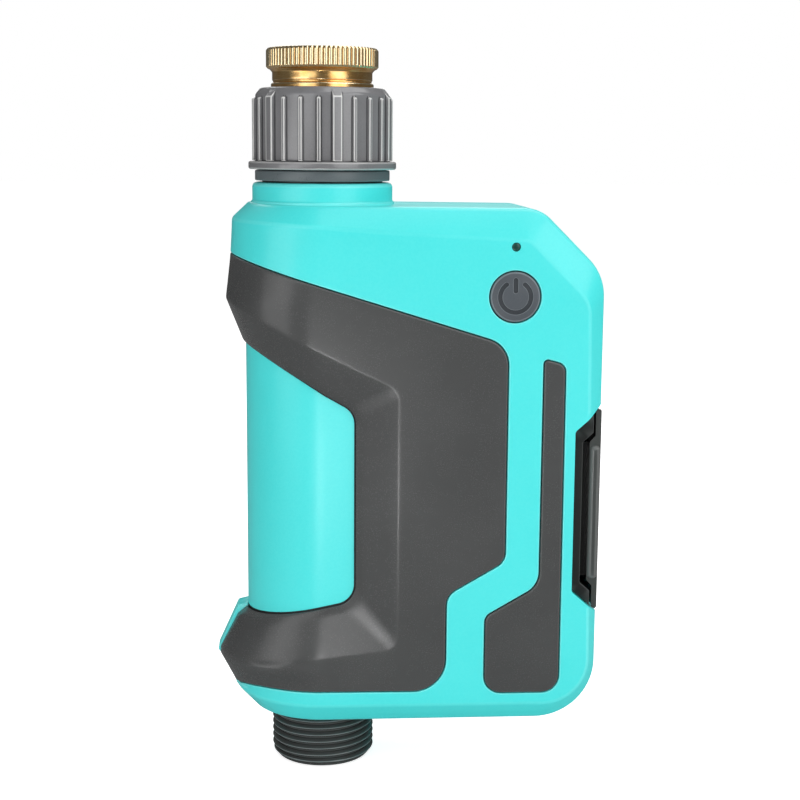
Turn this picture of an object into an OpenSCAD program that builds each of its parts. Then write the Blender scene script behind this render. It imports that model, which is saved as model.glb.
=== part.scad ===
// Tap timer for a garden hose: a beveled upright case with a water valve in its left column,
// a turning nut and a brass tap adapter on top, a threaded hose outlet below,
// and a dry side that holds the gear train, the circuit board and a battery drawer.
// Lengths are in millimetres. Heights are written from the underside of the case,
// and the finished pieces are moved so that the origin is in the mouth of the tap adapter.

/* [Case] */
// Height of the case
body_h = 129.4; // [127:0.2:136]
// Distance from the column axis to the right face
body_right = 68.5; // [68:0.5:76]
// Half of the depth of the case, and the radius of its round left end
body_half = 22.5; // [22.2:0.1:24]
// Depth that every bevel takes off the front and the rear face
bevel_depth = 4; // [2:0.5:5]
// Height of the bevel along the top
top_bevel = 5; // [3:0.5:8]
// Height of the bevel along the underside
bottom_bevel = 5.2; // [3:0.2:8]
// Width of the bevel down the right face
side_bevel = 3.7; // [2:0.1:6]
// Width of the bevel along the slanted corner
corner_bevel = 7.2; // [4:0.2:9]
// Size of the slanted corner at the top right
corner_cut = 16; // [12:0.5:18]
// Rounding at each end of the slanted corner
corner_round = 8; // [3:0.5:10]
// Rounding of the corner at the bottom right
foot_round = 15; // [8:0.5:18]
// Depth of the hand recess below the front and the rear face
recess_depth = 3.1; // [2.9:0.1:3.3]
// Wall of the case behind the hand recess and the grips
wall = 2.2; // [1.8:0.1:2.3]
// Wall of the case behind its upper part
upper_wall = 2.6; // [2:0.1:3]

/* [Grips] */
// Distance from the top of the case down to the ridge of the upper grip
ridge_drop = 23.5; // [22.4:0.1:25.4]
// Radius of the ridge of the upper grip at the far left
ridge_r = 24.3; // [23.5:0.1:25]
// Height of the point of the lug at the far left
lug_z = 14; // [12:0.2:15]
// Reach of the point of the lug from the column axis
lug_reach = 27.4; // [25:0.2:28]
// Right edge of the grip's upright
grip_right = 44.6; // [44:0.1:46]
// Right edge of the grip's foot
grip_foot_right = 30.1; // [28:0.2:32]
// Height of the grip's lower edge
grip_foot_z = 8.8; // [8:0.2:10]
// Right edge of the hand recess
recess_right = 8; // [6:0.2:9]
// Line where the facet beside the hand recess starts
facet_right = 18.1; // [16:0.2:20]
// Thickness of the grip at the edge of the hand recess
grip_edge = 0.6; // [0.4:0.1:1]
// Half of the width of the case's tongue on the lug
tongue_half = 3.2; // [2:0.2:5]
// Thickness of the slim trims
slim_t = 1.5; // [1:0.1:2]
// Left edge of the slim trim's upright
slim_left = 53.4; // [53:0.1:54]
// Right edge of the slim trims
slim_right = 58.6; // [58:0.1:59.5]
// Distance from the top of the case down to the top of the slim trims
slim_drop = 37.5; // [35.4:0.1:41.4]

/* [Tap connection] */
// Pitch radius step: outer radius of the tap thread in the adapter
tap_major_r = 10.4775; // [10.4775:0.0001:10.4775]
// Inner radius of the tap thread in the adapter
tap_minor_r = 9.3155; // [9.3155:0.0001:9.3155]
// Pitch of the pipe threads
thread_pitch = 1.814; // [1.7:0.002:1.9]
// Depth of the tap thread below the adapter's mouth
tap_thread_l = 13; // [11:0.5:13]
// Radius of the adapter's knurled ring
knurl_r = 13.9; // [13.6:0.1:15]
// Height of the adapter's knurled ring
knurl_h = 4.9; // [4:0.1:6]
// Count of the flutes on the knurled ring
knurl_count = 60; // [40:4:80]
// Radius of the adapter's shank in the nut
shank_r = 13; // [12.8:0.05:13.2]
// Radius of the adapter's waist
waist_r = 12; // [11.8:0.1:12.6]
// Height of the waist between the nut and the knurled ring
waist_h = 5.2; // [4:0.2:7]
// Thickness of the washers in the tap connection
washer_t = 2; // [1.5:0.1:2.5]

/* [Nut] */
// Outer radius of the nut's ribs
nut_rib_r = 17.4; // [17.2:0.1:18]
// Radius of the nut between its ribs
nut_body_r = 16.6; // [16.2:0.1:17]
// Radius of the nut's flange
nut_flange_r = 18.4; // [18:0.1:19.5]
// Height of the nut's flange
nut_flange_h = 2.5; // [2:0.1:3]
// Height of the whole nut
nut_h = 19.3; // [18:0.1:22]
// Height of the nut's domed shoulder
nut_dome_h = 3.8; // [3:0.1:5]
// Count of the nut's ribs
nut_ribs = 24; // [12:4:32]
// Every rib of this number is a wide one
nut_wide_every = 4; // [2:1:6]
// Width of a thin rib
nut_rib_w = 1.3; // [0.8:0.1:1.6]
// Width of a wide rib
nut_wide_w = 3.2; // [2:0.1:4]
// Height of the nut's inner lip
nut_lip_h = 3; // [2.5:0.1:4]

/* [Neck] */
// Radius of the collar on top of the case
collar_r = 17.5; // [17:0.1:18.5]
// Height of the collar
collar_h = 4.9; // [4:0.1:6]
// Radius of the glide ring under the nut
glide_r = 16.8; // [16:0.1:17.4]
// Height of the glide ring
glide_h = 2.6; // [2:0.1:3.5]
// Outer radius of the inlet spigot
spigot_r = 12.3; // [12:0.1:12.5]
// Radius of the spigot's retaining flange
spigot_flange_r = 14.4; // [14:0.1:14.6]
// Height of the spigot's retaining flange
spigot_flange_h = 2.7; // [2:0.1:3]

/* [Outlet] */
// Outer radius of the hose thread
outlet_r = 13.22; // [13.22:0.01:13.22]
// Depth of the hose thread's groove
outlet_depth = 1.162; // [1:0.002:1.2]
// Length of the outlet below the case
outlet_l = 14.7; // [13:0.1:18]
// Bore of the outlet
outlet_bore_r = 9.5; // [8:0.1:10]

/* [Valve] */
// Distance from the top of the case down to the valve's turning axis
valve_drop = 25.4; // [23.4:0.2:27.4]
// Radius of the ball
ball_r = 10.5; // [10:0.1:10.8]
// Radius of the water way
way_r = 6.8; // [6:0.1:7]
// Radius of the stem
stem_r = 3; // [2.5:0.1:3.2]
// Outer radius of the water tube beside the battery drawer
tube_r = 9; // [8.8:0.1:9.1]
// Outer radius of the valve chamber
chamber_r = 12.4; // [12.2:0.1:12.6]
// Clearance between the case and the flange that parts the valve body
flange_clear = 3; // [2.9:0.1:3.2]
// Height of each half of that flange
flange_h = 3; // [2.5:0.1:3.5]

/* [Gears] */
// Module of the gears
gear_m = 0.8; // [0.75:0.01:0.82]
// Teeth of the output gear
output_teeth = 30; // [28:1:31]
// Teeth of the small gear of the compound gear
small_teeth = 10; // [9:1:11]
// Teeth of the large gear of the compound gear
large_teeth = 25; // [24:1:26]
// Teeth of the motor pinion
pinion_teeth = 10; // [9:1:11]
// Sideways place of the compound gear's axle
compound_y = 6; // [5:0.2:6.6]
// Sideways place of the motor's shaft
motor_y = 0.5; // [-1:0.1:1.5]
// Length of the motor
motor_l = 25; // [20:0.5:25.5]
// Larger width of the motor
motor_w = 20.4; // [18:0.2:21]
// Smaller width of the motor, across its flats
motor_flats = 15.4; // [14:0.2:16]
// Radius of the gear axle
axle_r = 1.5; // [1:0.1:1.6]

/* [Button and light] */
// Distance of the button from the column axis
button_x = 46; // [44:0.2:47]
// Distance from the top of the case down to the middle of the button
button_drop = 21.7; // [20.4:0.1:23.4]
// Radius of the button's cap
button_r = 6.1; // [5:0.1:6.6]
// Travel of the button
button_travel = 0.6; // [0.3:0.1:0.6]
// Height of the light above the button
light_up = 12; // [11:0.1:12.5]
// Radius of the light window
light_r = 1.05; // [0.8:0.05:1.5]
// Distance from the front wall's inner face to the circuit board
board_gap = 5.4; // [5.2:0.1:6]
// Thickness of the circuit board
board_t = 1.6; // [1:0.2:2]
// Reach of the circuit board to the right of the button
board_side = 9; // [8:0.2:9.4]
// Reach of the circuit board below the button
board_below = 27; // [24:0.5:28]
// Reach of the circuit board above the light
board_above = 2.4; // [2:0.1:2.6]
// Width of the radio module's own board
radio_w = 12; // [10:0.5:12]
// Height of the radio module's own board
radio_h = 15; // [12:0.5:16]

/* [Battery drawer] */
// Diameter of a cell
cell_d = 14.5; // [14.1:0.1:14.6]
// Length of a cell
cell_l = 50.5; // [49.5:0.1:50.5]
// Distance from the valve's turning axis down to the middle of the drawer
drawer_drop = 50.3; // [49.5:0.1:52]
// Wall of the drawer's tray
tray_wall = 1; // [0.8:0.1:1]
// Wall of the sleeve round the tray
sleeve_wall = 0.8; // [0.6:0.1:0.9]
// Thickness of the bezel in the side notch
bezel_t = 2.4; // [2:0.1:2.5]
// Left edge of the side notch
notch_x = 61.5; // [61.4:0.1:62]
// Half of the height of the side notch at its bottom
notch_half = 19; // [18.4:0.1:20]
// Half of the height of the drawer's door
door_half = 22.6; // [21:0.1:23.2]
// Thickness of the door
door_t = 4; // [3:0.1:4.2]

/* [Fits] */
// Gap between a trim and the case
trim_gap = 0.12; // [0.08:0.01:0.2]
// Gap between a moving piece and its guide
run_gap = 0.3; // [0.25:0.01:0.35]
// Gap round a turning shaft
shaft_gap = 0.06; // [0.03:0.01:0.09]
// Reach of the case screws into the front half
screw_reach = 9.5; // [8:0.1:10]
// Height of the case screws' heads
screw_head_h = 2.4; // [1.6:0.1:2.6]
// Distance from the seam of the case back to the seats of the screw heads
screw_seat = 11.9; // [10:0.1:12]
// Thickness of a soft seal that lies between two faces
seal_t = 0.3; // [0.2:0.05:0.4]

/* [Hidden] */
$fn = 96;

// Places that hang from the top of the case
ridge_z = body_h - ridge_drop;
slim_top = body_h - slim_drop;
valve_z = body_h - valve_drop;
button_z = body_h - button_drop;
drawer_z = valve_z - drawer_drop;

// Radius of the bare column in the hand recess
column_r = body_half - recess_depth;

// Inner faces of the case
inner_half = column_r - wall;
upper_half = body_half - upper_wall;
// Radius of the flange between the valve housing and the spigot
flange_r = upper_half - flange_clear;
// The narrow inside reaches up to here, and the wide inside starts here
step_z = ridge_z - 11;

// Heights of the neck, from the case upwards
glide_z = body_h + collar_h + 0.4;
nut_z = glide_z + glide_h + 0.2;
lip_top_z = nut_z + nut_lip_h;
spigot_flange_z = lip_top_z + 0.4;
spigot_top_z = spigot_flange_z + spigot_flange_h;
adapter_z = spigot_top_z + washer_t;
nut_top_z = nut_z + nut_h;
waist_z = nut_top_z - 0.7;
knurl_z = nut_top_z + waist_h;
mouth_z = knurl_z + knurl_h;
tap_mouth_chamfer = 0.8;
// Place of the origin: the first full turn of the tap thread
origin_z = mouth_z - tap_mouth_chamfer;

// Valve and its seats
chamber_in_r = ball_r + 0.4;
seat_low = 4.5;
seat_h = 5;
split_z = valve_z + 11;
housing_low_z = valve_z - 12;
seal_r = chamber_in_r + 1.2;
screw_ring_r = flange_r - 1.9;
// The spout's flange ends here, and its socket reaches into the water tube
spout_top_z = wall + 3.2;
socket_h = 5;
socket_r = way_r + 1;
spout_flange_r = inner_half - 1.6;
// The stem starts on a flat of the ball, and its tang reaches into a slot there
stem_x = ball_r - 0.5;
tang_x = ball_r - 2;
boss_r = stem_r + 3.5;
boss_end = chamber_r + 5;
stem_seal_x = chamber_r - 0.6;

// Gear train along the stem
plate_t = 1.2;
output_x = boss_end + plate_t + 1.8;
output_w = 4;
large_x = output_x + output_w + 0.6;
large_w = 2.4;
plate2_x = large_x + large_w + 0.4;
motor_x = plate2_x + plate_t;
output_pr = gear_m * output_teeth / 2;
small_pr = gear_m * small_teeth / 2;
large_pr = gear_m * large_teeth / 2;
pinion_pr = gear_m * pinion_teeth / 2;
mesh1 = output_pr + small_pr;
mesh2 = large_pr + pinion_pr;
compound_z = valve_z - sqrt(mesh1 * mesh1 - compound_y * compound_y);
motor_dy = motor_y - compound_y;
motor_z = compound_z + sqrt(mesh2 * mesh2 - motor_dy * motor_dy);
mesh1_a = atan2(compound_z - valve_z, compound_y);
mesh2_a = atan2(motor_z - compound_z, motor_dy);
motor_shaft_r = 1;

// Circuit board, which hangs on posts behind the front wall
board_y = -(upper_half - board_gap);
board_left = motor_x + 0.5;
board_right = button_x + board_side;
board_low = button_z - board_below;
board_high = button_z + light_up + board_above;
board_posts = [
  [board_left + 2.6, board_low + 3],
  [board_right - 2.6, board_low + 3],
  [board_left + 2.6, board_high - 3]
];
switch_h = 3.4;
switch_front = board_y - switch_h;

// Battery drawer, from its cells outwards
cell_gap = 0.4;
cell_step = cell_d + cell_gap;
tray_in_half = cell_step + cell_gap / 2;
tray_half = tray_in_half + tray_wall;
sleeve_in_half = tray_half + run_gap;
sleeve_half = sleeve_in_half + sleeve_wall;
tray_low = drawer_z - tray_half;
tray_high = drawer_z + tray_half;
sleeve_left = tube_r + 0.6;
tray_left = sleeve_left + sleeve_wall + 0.5;
bezel_right = notch_x + bezel_t;
door_left = bezel_right + seal_t + 0.1;
door_right = body_right - 0.2;
bezel_half = body_half - 2.6;
door_half_y = body_half - 3;
cell_right = door_left - 0.2;
cell_left = cell_right - cell_l;

// Screws that hold the two halves of the case, as distance and height
screw_r = 1.5;
boss_out_r = 3.2;
case_bosses = [
  [boss_end + 4.6, body_h - 7.6],
  [body_right - 6.2, slim_top - 2.4],
  [body_right - 6.2, drawer_z - notch_half - 10.7],
  [boss_end + 4.6, drawer_z - sleeve_half - 12.5]
];

// Points of one rounded corner of an outline
function unit(v) = v / norm(v);
function fillet(a, b, c, r, n) =
  r <= 0 ? [[b[0], b[1]]] :
  let (
    u = unit([a[0] - b[0], a[1] - b[1]]),
    v = unit([c[0] - b[0], c[1] - b[1]]),
    h = acos(u * v) / 2,
    m = [b[0], b[1]] + unit(u + v) * r / sin(h),
    s = [b[0], b[1]] + u * r / tan(h) - m,
    e = [b[0], b[1]] + v * r / tan(h) - m,
    a0 = atan2(s[1], s[0]),
    d0 = atan2(e[1], e[0]) - a0,
    d = d0 > 180 ? d0 - 360 : (d0 < -180 ? d0 + 360 : d0)
  )
  [for (i = [0:n]) m + r * [cos(a0 + d * i / n), sin(a0 + d * i / n)]];

// Outline through corners given as x, z and radius
function rounded(p, n = 6) =
  let (k = len(p))
  [for (i = [0:k - 1]) each fillet(p[(i + k - 1) % k], p[i], p[(i + 1) % k], p[i][2], n)];

// Extrusion of an x and z outline between two depths
module across(y0, y1) {
  translate([0, y1, 0]) rotate([90, 0, 0]) linear_extrude(height = y1 - y0) children();
}

// Extrusion of a y and z outline between two distances
module sideways(x0, x1) {
  translate([x0, 0, 0]) rotate([90, 0, 90]) linear_extrude(height = x1 - x0) children();
}

// Rod along x, from one distance to another
module rod_x(x0, x1, y, z, r) {
  translate([x0, y, z]) rotate([0, 90, 0]) cylinder(h = x1 - x0, r = r);
}

// Rod along y, from one depth to another
module rod_y(y0, y1, x, z, r) {
  translate([x, y1, z]) rotate([90, 0, 0]) cylinder(h = y1 - y0, r = r);
}

// Tube or ring round the column axis
module ring(z0, z1, r_out, r_in) {
  difference() {
    translate([0, 0, z0]) cylinder(h = z1 - z0, r = r_out);
    translate([0, 0, z0 - 1]) cylinder(h = z1 - z0 + 2, r = r_in);
  }
}

// Half of the upright section of the case, with a skin of thickness d taken off
function half_section(d, half) = [
  [half - bevel_depth - 0.4 * d, d],
  [half - d, bottom_bevel + 0.4 * d],
  [half - d, body_h - top_bevel - 0.4 * d],
  [half - bevel_depth - 0.4 * d, body_h - d]
];

// Outline of the case from the front: slanted corner above, round corner below
module front_outline(d) {
  k = d * (sqrt(2) - 1);
  polygon(rounded([
    [-60, d, 0],
    [body_right - d, d, foot_round - d],
    [body_right - d, body_h - corner_cut - k, corner_round],
    [body_right - corner_cut - k, body_h - d, corner_round],
    [-60, body_h - d, 0]
  ]));
}

// Bevel profile across an edge: s runs outwards and ends at the face
module bevel_profile(width, d) {
  half = body_half - d;
  polygon([
    [-150, -half], [-width - 0.4 * d, -half], [-d, -half + bevel_depth],
    [-d, half - bevel_depth], [-width - 0.4 * d, half], [-150, half]
  ]);
}

// The case as one block, with a skin of thickness d taken off
module body_form(d) {
  s = half_section(d, body_half);
  intersection() {
    union() {
      rotate_extrude() polygon(concat([[0, d]], s, [[0, body_h - d]]));
      sideways(0, body_right + 5)
        polygon(concat(s, [for (i = [3:-1:0]) [-s[i][0], s[i][1]]]));
    }
    across(-body_half - 1, body_half + 1) front_outline(d);
    translate([body_right, 0, -5]) linear_extrude(height = body_h + 10)
      bevel_profile(side_bevel, d);
    translate([body_right - corner_cut / 2, 0, body_h - corner_cut / 2])
      rotate([0, -45, 0]) linear_extrude(height = 400, center = true)
      bevel_profile(corner_bevel, d);
  }
}

// Column and its flat continuation to the right, r is the half depth
module column_form(r, z0, z1, right) {
  translate([0, 0, z0]) linear_extrude(height = z1 - z0) {
    circle(r = r);
    translate([0, -r]) square([right, 2 * r]);
  }
}

// Swell of the upper grip round the left end
module ridge_form() {
  c = ridge_r - body_half;
  translate([-c, 0, 0]) rotate_extrude() polygon([
    [0, step_z - 12], [body_half - 5, step_z - 12], [body_half, ridge_z],
    [body_half - 0.4, ridge_z + 5], [body_half - c, ridge_z + 13], [0, ridge_z + 13]
  ]);
}

// Lug at the foot of the left end
module lug_form() {
  c = 5;
  r = lug_reach - c;
  translate([-c, 0, 0]) rotate_extrude() polygon([
    [0, 0], [13, 0], [16.5, 2.6], [r - 0.3, lug_z - 1.5], [r - 0.3, lug_z + 1.5],
    [r - 4.8, lug_z + 9.2], [r - 7.6, lug_z + 11], [0, lug_z + 11]
  ]);
}

// Everything that the case and its grips fill
module outer_form() {
  body_form(0);
  ridge_form();
  lug_form();
}

// Heights of the four edges of the hand recess at distance x
function upper_crease(x) = ridge_z - 12.1 - 0.485 * x;
function upper_edge(x) = ridge_z - 22.8 - 0.57 * x;
function lower_edge(x) = lug_z + 15.2 + 0.2 * x;
function lower_crease(x) = lug_z + 3.7 + 0.16 * x;

// Radius of the two creases at a turn angle from the far left
function top_crease_r(a) = body_half + (ridge_r - body_half) * max(cos(a), 0);
function low_crease_r(a) = body_half + (lug_reach - body_half) * max(cos(a), 0);

// Slanted facet as edge, crease and two points beyond the crease, from inside to outside
function facet(edge, crease, rise) =
  let (
    past = crease + (crease - edge) * 1.2 / max(norm(crease - edge) / 3.4, 0.5),
    out = [past[0], past[1]] * (past[0] > 0 ? 1 : 45 / norm([past[0], past[1]]))
  )
  [edge, past, [past[0] > 0 ? past[0] : out[0], past[0] > 0 ? -45 : out[1], past[2] + rise]];

// The facets above and below one point of the recess's edge
function upper_facet(a) =
  let (e = column_r + grip_edge, r = top_crease_r(a), c = [-cos(a), -sin(a)])
  facet([e * c[0], e * c[1], upper_edge(e * c[0])],
    [r * c[0], r * c[1], upper_crease(r * c[0])], 8);
function lower_facet(a) =
  let (e = column_r + grip_edge, r = low_crease_r(a), c = [-cos(a), -sin(a)])
  facet([e * c[0], e * c[1], lower_edge(e * c[0])],
    [r * c[0], r * c[1], lower_crease(r * c[0])], -8);

// Hand recess with slanted facets, front half; the far half is its mirror image
module recess_half() {
  edge = column_r + grip_edge;
  inner = column_r - 1;
  turns = [for (i = [-2:12]) i * 7.5];
  right_up = facet([recess_right, -edge, upper_edge(recess_right)],
    [facet_right, -body_half, upper_crease(facet_right)], 8);
  right_low = facet([recess_right, -edge, lower_edge(recess_right)],
    [facet_right, -body_half, lower_crease(facet_right)], -8);
  ups = concat([for (a = turns) upper_facet(a)], [right_up]);
  lows = concat([for (a = turns) lower_facet(a)], [right_low]);
  floor_line = concat([for (a = turns) [-inner * cos(a), -inner * sin(a)]],
    [[recess_right, -inner]]);
  columns = len(ups);
  rows = [
    [for (f = ups) f[2]], [for (f = ups) f[1]], [for (f = ups) f[0]],
    [for (i = [0:columns - 1]) [floor_line[i][0], floor_line[i][1], ups[i][0][2]]],
    [for (i = [0:columns - 1]) [floor_line[i][0], floor_line[i][1], lows[i][0][2]]],
    [for (f = lows) f[0]], [for (f = lows) f[1]], [for (f = lows) f[2]]
  ];
  k = len(rows);
  skin = [for (i = [0:k - 1], j = [0:columns - 2])
    let (p = i * columns + j, q = ((i + 1) % k) * columns + j)
    each [[p, q + 1, p + 1], [p, q, q + 1]]];
  // Each end is closed by strips between the upper and the lower half of its outline
  strips = [for (i = [0:k / 2 - 2]) each [[i, k - 1 - i, k - 2 - i], [i, k - 2 - i, i + 1]]];
  left_cap = [for (t = strips) [for (i = [0:2]) t[i] * columns]];
  right_cap = [for (t = strips) [for (i = [2:-1:0]) t[i] * columns + columns - 1]];
  polyhedron(points = [for (row = rows) each row],
    faces = concat(skin, left_cap, right_cap), convexity = 8);
}

// The whole recess, whose floor is the bare column
module hand_recess() {
  difference() {
    union() {
      recess_half();
      mirror([0, 1, 0]) recess_half();
    }
    column_form(column_r, 0, body_h, body_right - 10);
  }
}

// Outline of a grip from the front, with a gap g added round it
module grip_outline(g = 0) {
  polygon(rounded([
    [-60, ridge_z + 27.6 + g, 0],
    [-8, ridge_z + 6.5 + g, 10],
    [grip_right + g, ridge_z - 9.1 + g, 6 + g],
    [grip_right + g, lug_z + 28.1 - g, 4 + g],
    [grip_foot_right + g, lug_z + 20.1 - g, 6 - g],
    [grip_foot_right + g, grip_foot_z - g, 8 + g],
    [-8, grip_foot_z - g, 12],
    [-60, grip_foot_z - 14 - g, 0]
  ]));
}

// Outline of a slim trim from the front, with a gap g added round it
module slim_outline(g = 0) {
  polygon(rounded([
    [slim_left - g, slim_top + g, 1.2],
    [slim_right + g, slim_top - 0.3 + g, 3.5],
    [slim_right + g, lug_z - 5.7 - g, 4.5],
    [grip_right - 4.7 - g, lug_z - 5.7 - g, 4.5],
    [grip_right - 4.7 - g, lug_z + 13.3 + g, 3],
    [slim_left - g, lug_z + 21.3 + g, 6]
  ]));
}

// Space that the front grip takes, with a gap g round it
module grip_space(g) {
  difference() {
    across(-50, g) grip_outline(g);
    column_form(column_r + trim_gap - g, -5, body_h + 5, body_right - 10);
    translate([-60, -tongue_half + g, lug_z - 20]) cube([60, 60, 34.5 - g]);
  }
}

// Side notch for the drawer's bezel and door
module notch_outline() {
  top = drawer_z + notch_half;
  low = drawer_z - notch_half;
  polygon(rounded([
    [notch_x, low, 1.5], [notch_x, top, 1.5],
    [notch_x + 14, top + 14 * 0.87, 0], [notch_x + 14, low - 14 * 0.76, 0]
  ]));
}

// Shell of the case before it is parted into a front and a rear half
module whole_shell() {
  difference() {
    union() {
      body_form(0);
      intersection() {
        lug_form();
        translate([-60, -tongue_half, -5]) cube([60, 2 * tongue_half, 60]);
      }
    }
    hand_recess();
    grip_space(trim_gap);
    mirror([0, 1, 0]) grip_space(trim_gap);
    for (s = [0, 1]) mirror([0, s, 0])
      across(-body_half - 1, -body_half + slim_t + trim_gap) slim_outline(trim_gap);
    across(-body_half - 1, body_half + 1) notch_outline();
    // Narrow inside below, wide inside above
    intersection() {
      body_form(wall);
      column_form(inner_half, wall, body_h - wall, body_right);
    }
    intersection() {
      body_form(upper_wall);
      translate([-60, -60, step_z]) cube([200, 120, body_h]);
      difference() {
        translate([-60, -60, 0]) cube([200, 120, body_h]);
        across(-61, 61) grip_outline(wall + trim_gap);
      }
    }
    // Way of the spigot above and of the spout below
    translate([0, 0, body_h - 20]) cylinder(h = 40, r = spigot_r + 0.3);
    translate([0, 0, -10]) cylinder(h = 20, r = outlet_r + 0.1);
    // Space of the battery sleeve, open into the notch
    translate([sleeve_left - 0.1, -sleeve_half - 0.05, drawer_z - sleeve_half - 0.05])
      cube([80, 2 * sleeve_half + 0.1, 2 * sleeve_half + 0.1]);
  }
}

// Middle plane of the case with a border of width d taken off
module seam_outline(d) {
  intersection() {
    front_outline(d);
    union() {
      translate([-column_r + d, 0]) square([200, 200]);
      translate([-body_half + d, ridge_z + 12.6 + d]) square([200, 200]);
    }
    polygon(concat([for (s = half_section(d, body_half)) [-s[0], s[1]]],
      [[200, body_h], [200, 0]]));
  }
}

// Groove for the gasket, in the middle of the wall where the halves meet
module gasket_band(grow) {
  across(0, 0.9 + grow) difference() {
    seam_outline(0.7 - grow);
    seam_outline(1.5 + grow);
  }
}

module gasket_gaps() {
  translate([0, -5, -20]) cylinder(h = 60, r = outlet_r + 1.3);
  translate([0, -5, body_h - 20]) cylinder(h = 60, r = outlet_r + 1.3);
  translate([notch_x - 2, -5, drawer_z - notch_half - 14]) cube([40, 40, 2 * notch_half + 29]);
}

module front_shell() {
  color("turquoise") difference() {
    union() {
      intersection() {
        whole_shell();
        translate([-100, -100, -5]) cube([300, 100, 200]);
      }
      for (b = case_bosses) {
        half = b[1] > step_z ? upper_half : inner_half;
        rod_y(-half - 0.4, 0, b[0], b[1], boss_out_r);
      }
      for (p = board_posts) {
        half = p[1] > step_z ? upper_half : inner_half;
        rod_y(-half - 0.4, board_y, p[0], p[1], 2.4);
      }
    }
    for (b = case_bosses) rod_y(-screw_reach - 1.5, 1, b[0], b[1], screw_r - 0.2);
    for (p = board_posts) rod_y(board_y - 4, board_y + 1, p[0], p[1], 0.8);
    rod_y(-body_half - 2, 0, button_x, button_z, button_r + 0.35);
    rod_y(-body_half - 2, 0, button_x, button_z + light_up, light_r + 0.05);
  }
}

module rear_shell() {
  color("turquoise") difference() {
    union() {
      intersection() {
        whole_shell();
        translate([-100, 0, -5]) cube([300, 100, 200]);
      }
      for (b = case_bosses) {
        half = b[1] > step_z ? upper_half : inner_half;
        rod_y(0, half + 0.4, b[0], b[1], boss_out_r);
      }
    }
    for (b = case_bosses) {
      rod_y(-1, 60, b[0], b[1], screw_r + 0.15);
      rod_y(screw_seat - 0.05, 60, b[0], b[1], 2.9);
    }
    difference() {
      gasket_band(0.05);
      gasket_gaps();
    }
  }
}

module case_gasket() {
  color("dimgray") difference() {
    gasket_band(0);
    gasket_gaps();
  }
}

module case_screws() {
  color("silver") for (b = case_bosses) difference() {
    union() {
      rod_y(-screw_reach, screw_seat + screw_head_h, b[0], b[1], screw_r - 0.2);
      rod_y(screw_seat, screw_seat + screw_head_h, b[0], b[1], 2.7);
    }
    rod_y(screw_seat + screw_head_h - 1.1, screw_seat + 6, b[0], b[1], 1.1);
  }
}

// One grip, which ends at the middle plane
module grip() {
  difference() {
    intersection() {
      outer_form();
      grip_space(0);
    }
    translate([-60, -trim_gap / 2, -10]) cube([120, 60, 200]);
    recess_half();
  }
}

module front_grip() {
  color("dimgray") grip();
}

module rear_grip() {
  color("dimgray") mirror([0, 1, 0]) grip();
}

module front_slim_trim() {
  color("dimgray") across(-body_half, -body_half + slim_t) slim_outline();
}

module rear_slim_trim() {
  color("dimgray") across(body_half - slim_t, body_half) slim_outline();
}

// Brass adapter: shank in the nut, waist, and knurled ring with the tap thread inside
module brass_adapter() {
  low = mouth_z - tap_thread_l - tap_mouth_chamfer;
  turns = floor((tap_thread_l - 0.9) / thread_pitch);
  color("goldenrod") difference() {
    union() {
      translate([0, 0, adapter_z]) cylinder(h = waist_z - adapter_z, r = shank_r);
      translate([0, 0, waist_z - 0.1]) cylinder(h = knurl_z - waist_z + 0.1, r = waist_r);
      difference() {
        translate([0, 0, knurl_z]) cylinder(h = knurl_h, r = knurl_r);
        for (i = [0:knurl_count - 1]) rotate([0, 0, i * 360 / knurl_count])
          translate([knurl_r + 0.1, 0, knurl_z + 0.5])
          rotate([0, 0, 45]) translate([-0.3, -0.3, 0]) cube([0.6, 0.6, knurl_h - 1]);
      }
    }
    translate([0, 0, adapter_z - 1]) cylinder(h = 40, r = 7.6);
    translate([0, 0, low]) cylinder(h = 40, r = tap_minor_r);
    translate([0, 0, mouth_z - tap_mouth_chamfer])
      cylinder(h = tap_mouth_chamfer + 0.01, r1 = tap_minor_r, r2 = tap_major_r);
    for (i = [0:turns - 1]) translate([0, 0, mouth_z - tap_mouth_chamfer - 1 - i * thread_pitch])
      rotate_extrude() polygon([
        [tap_minor_r - 1, 0.1], [tap_minor_r, 0.1], [tap_major_r, -0.45],
        [tap_major_r, -0.75], [tap_minor_r, -1.3], [tap_minor_r - 1, -1.3]
      ]);
  }
}

module adapter_washer() {
  color("dimgray") ring(spigot_top_z + 0.5, adapter_z, shank_r - 0.6, 7.8);
}

// Sieve that hangs in the spigot by its rim
module inlet_filter() {
  r = way_r + 0.6;
  color("silver") difference() {
    union() {
      translate([0, 0, spigot_top_z]) cylinder(h = 0.5, r = shank_r - 0.6);
      translate([0, 0, spigot_top_z - 9]) cylinder(h = 9.1, r = r);
    }
    translate([0, 0, spigot_top_z - 8.2]) cylinder(h = 20, r = r - 0.7);
    for (x = [-4.5:1.5:4.5], y = [-4.5:1.5:4.5]) if (norm([x, y]) < r - 1.6)
      translate([x - 0.45, y - 0.45, spigot_top_z - 10]) cube([0.9, 0.9, 4]);
  }
}

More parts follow.
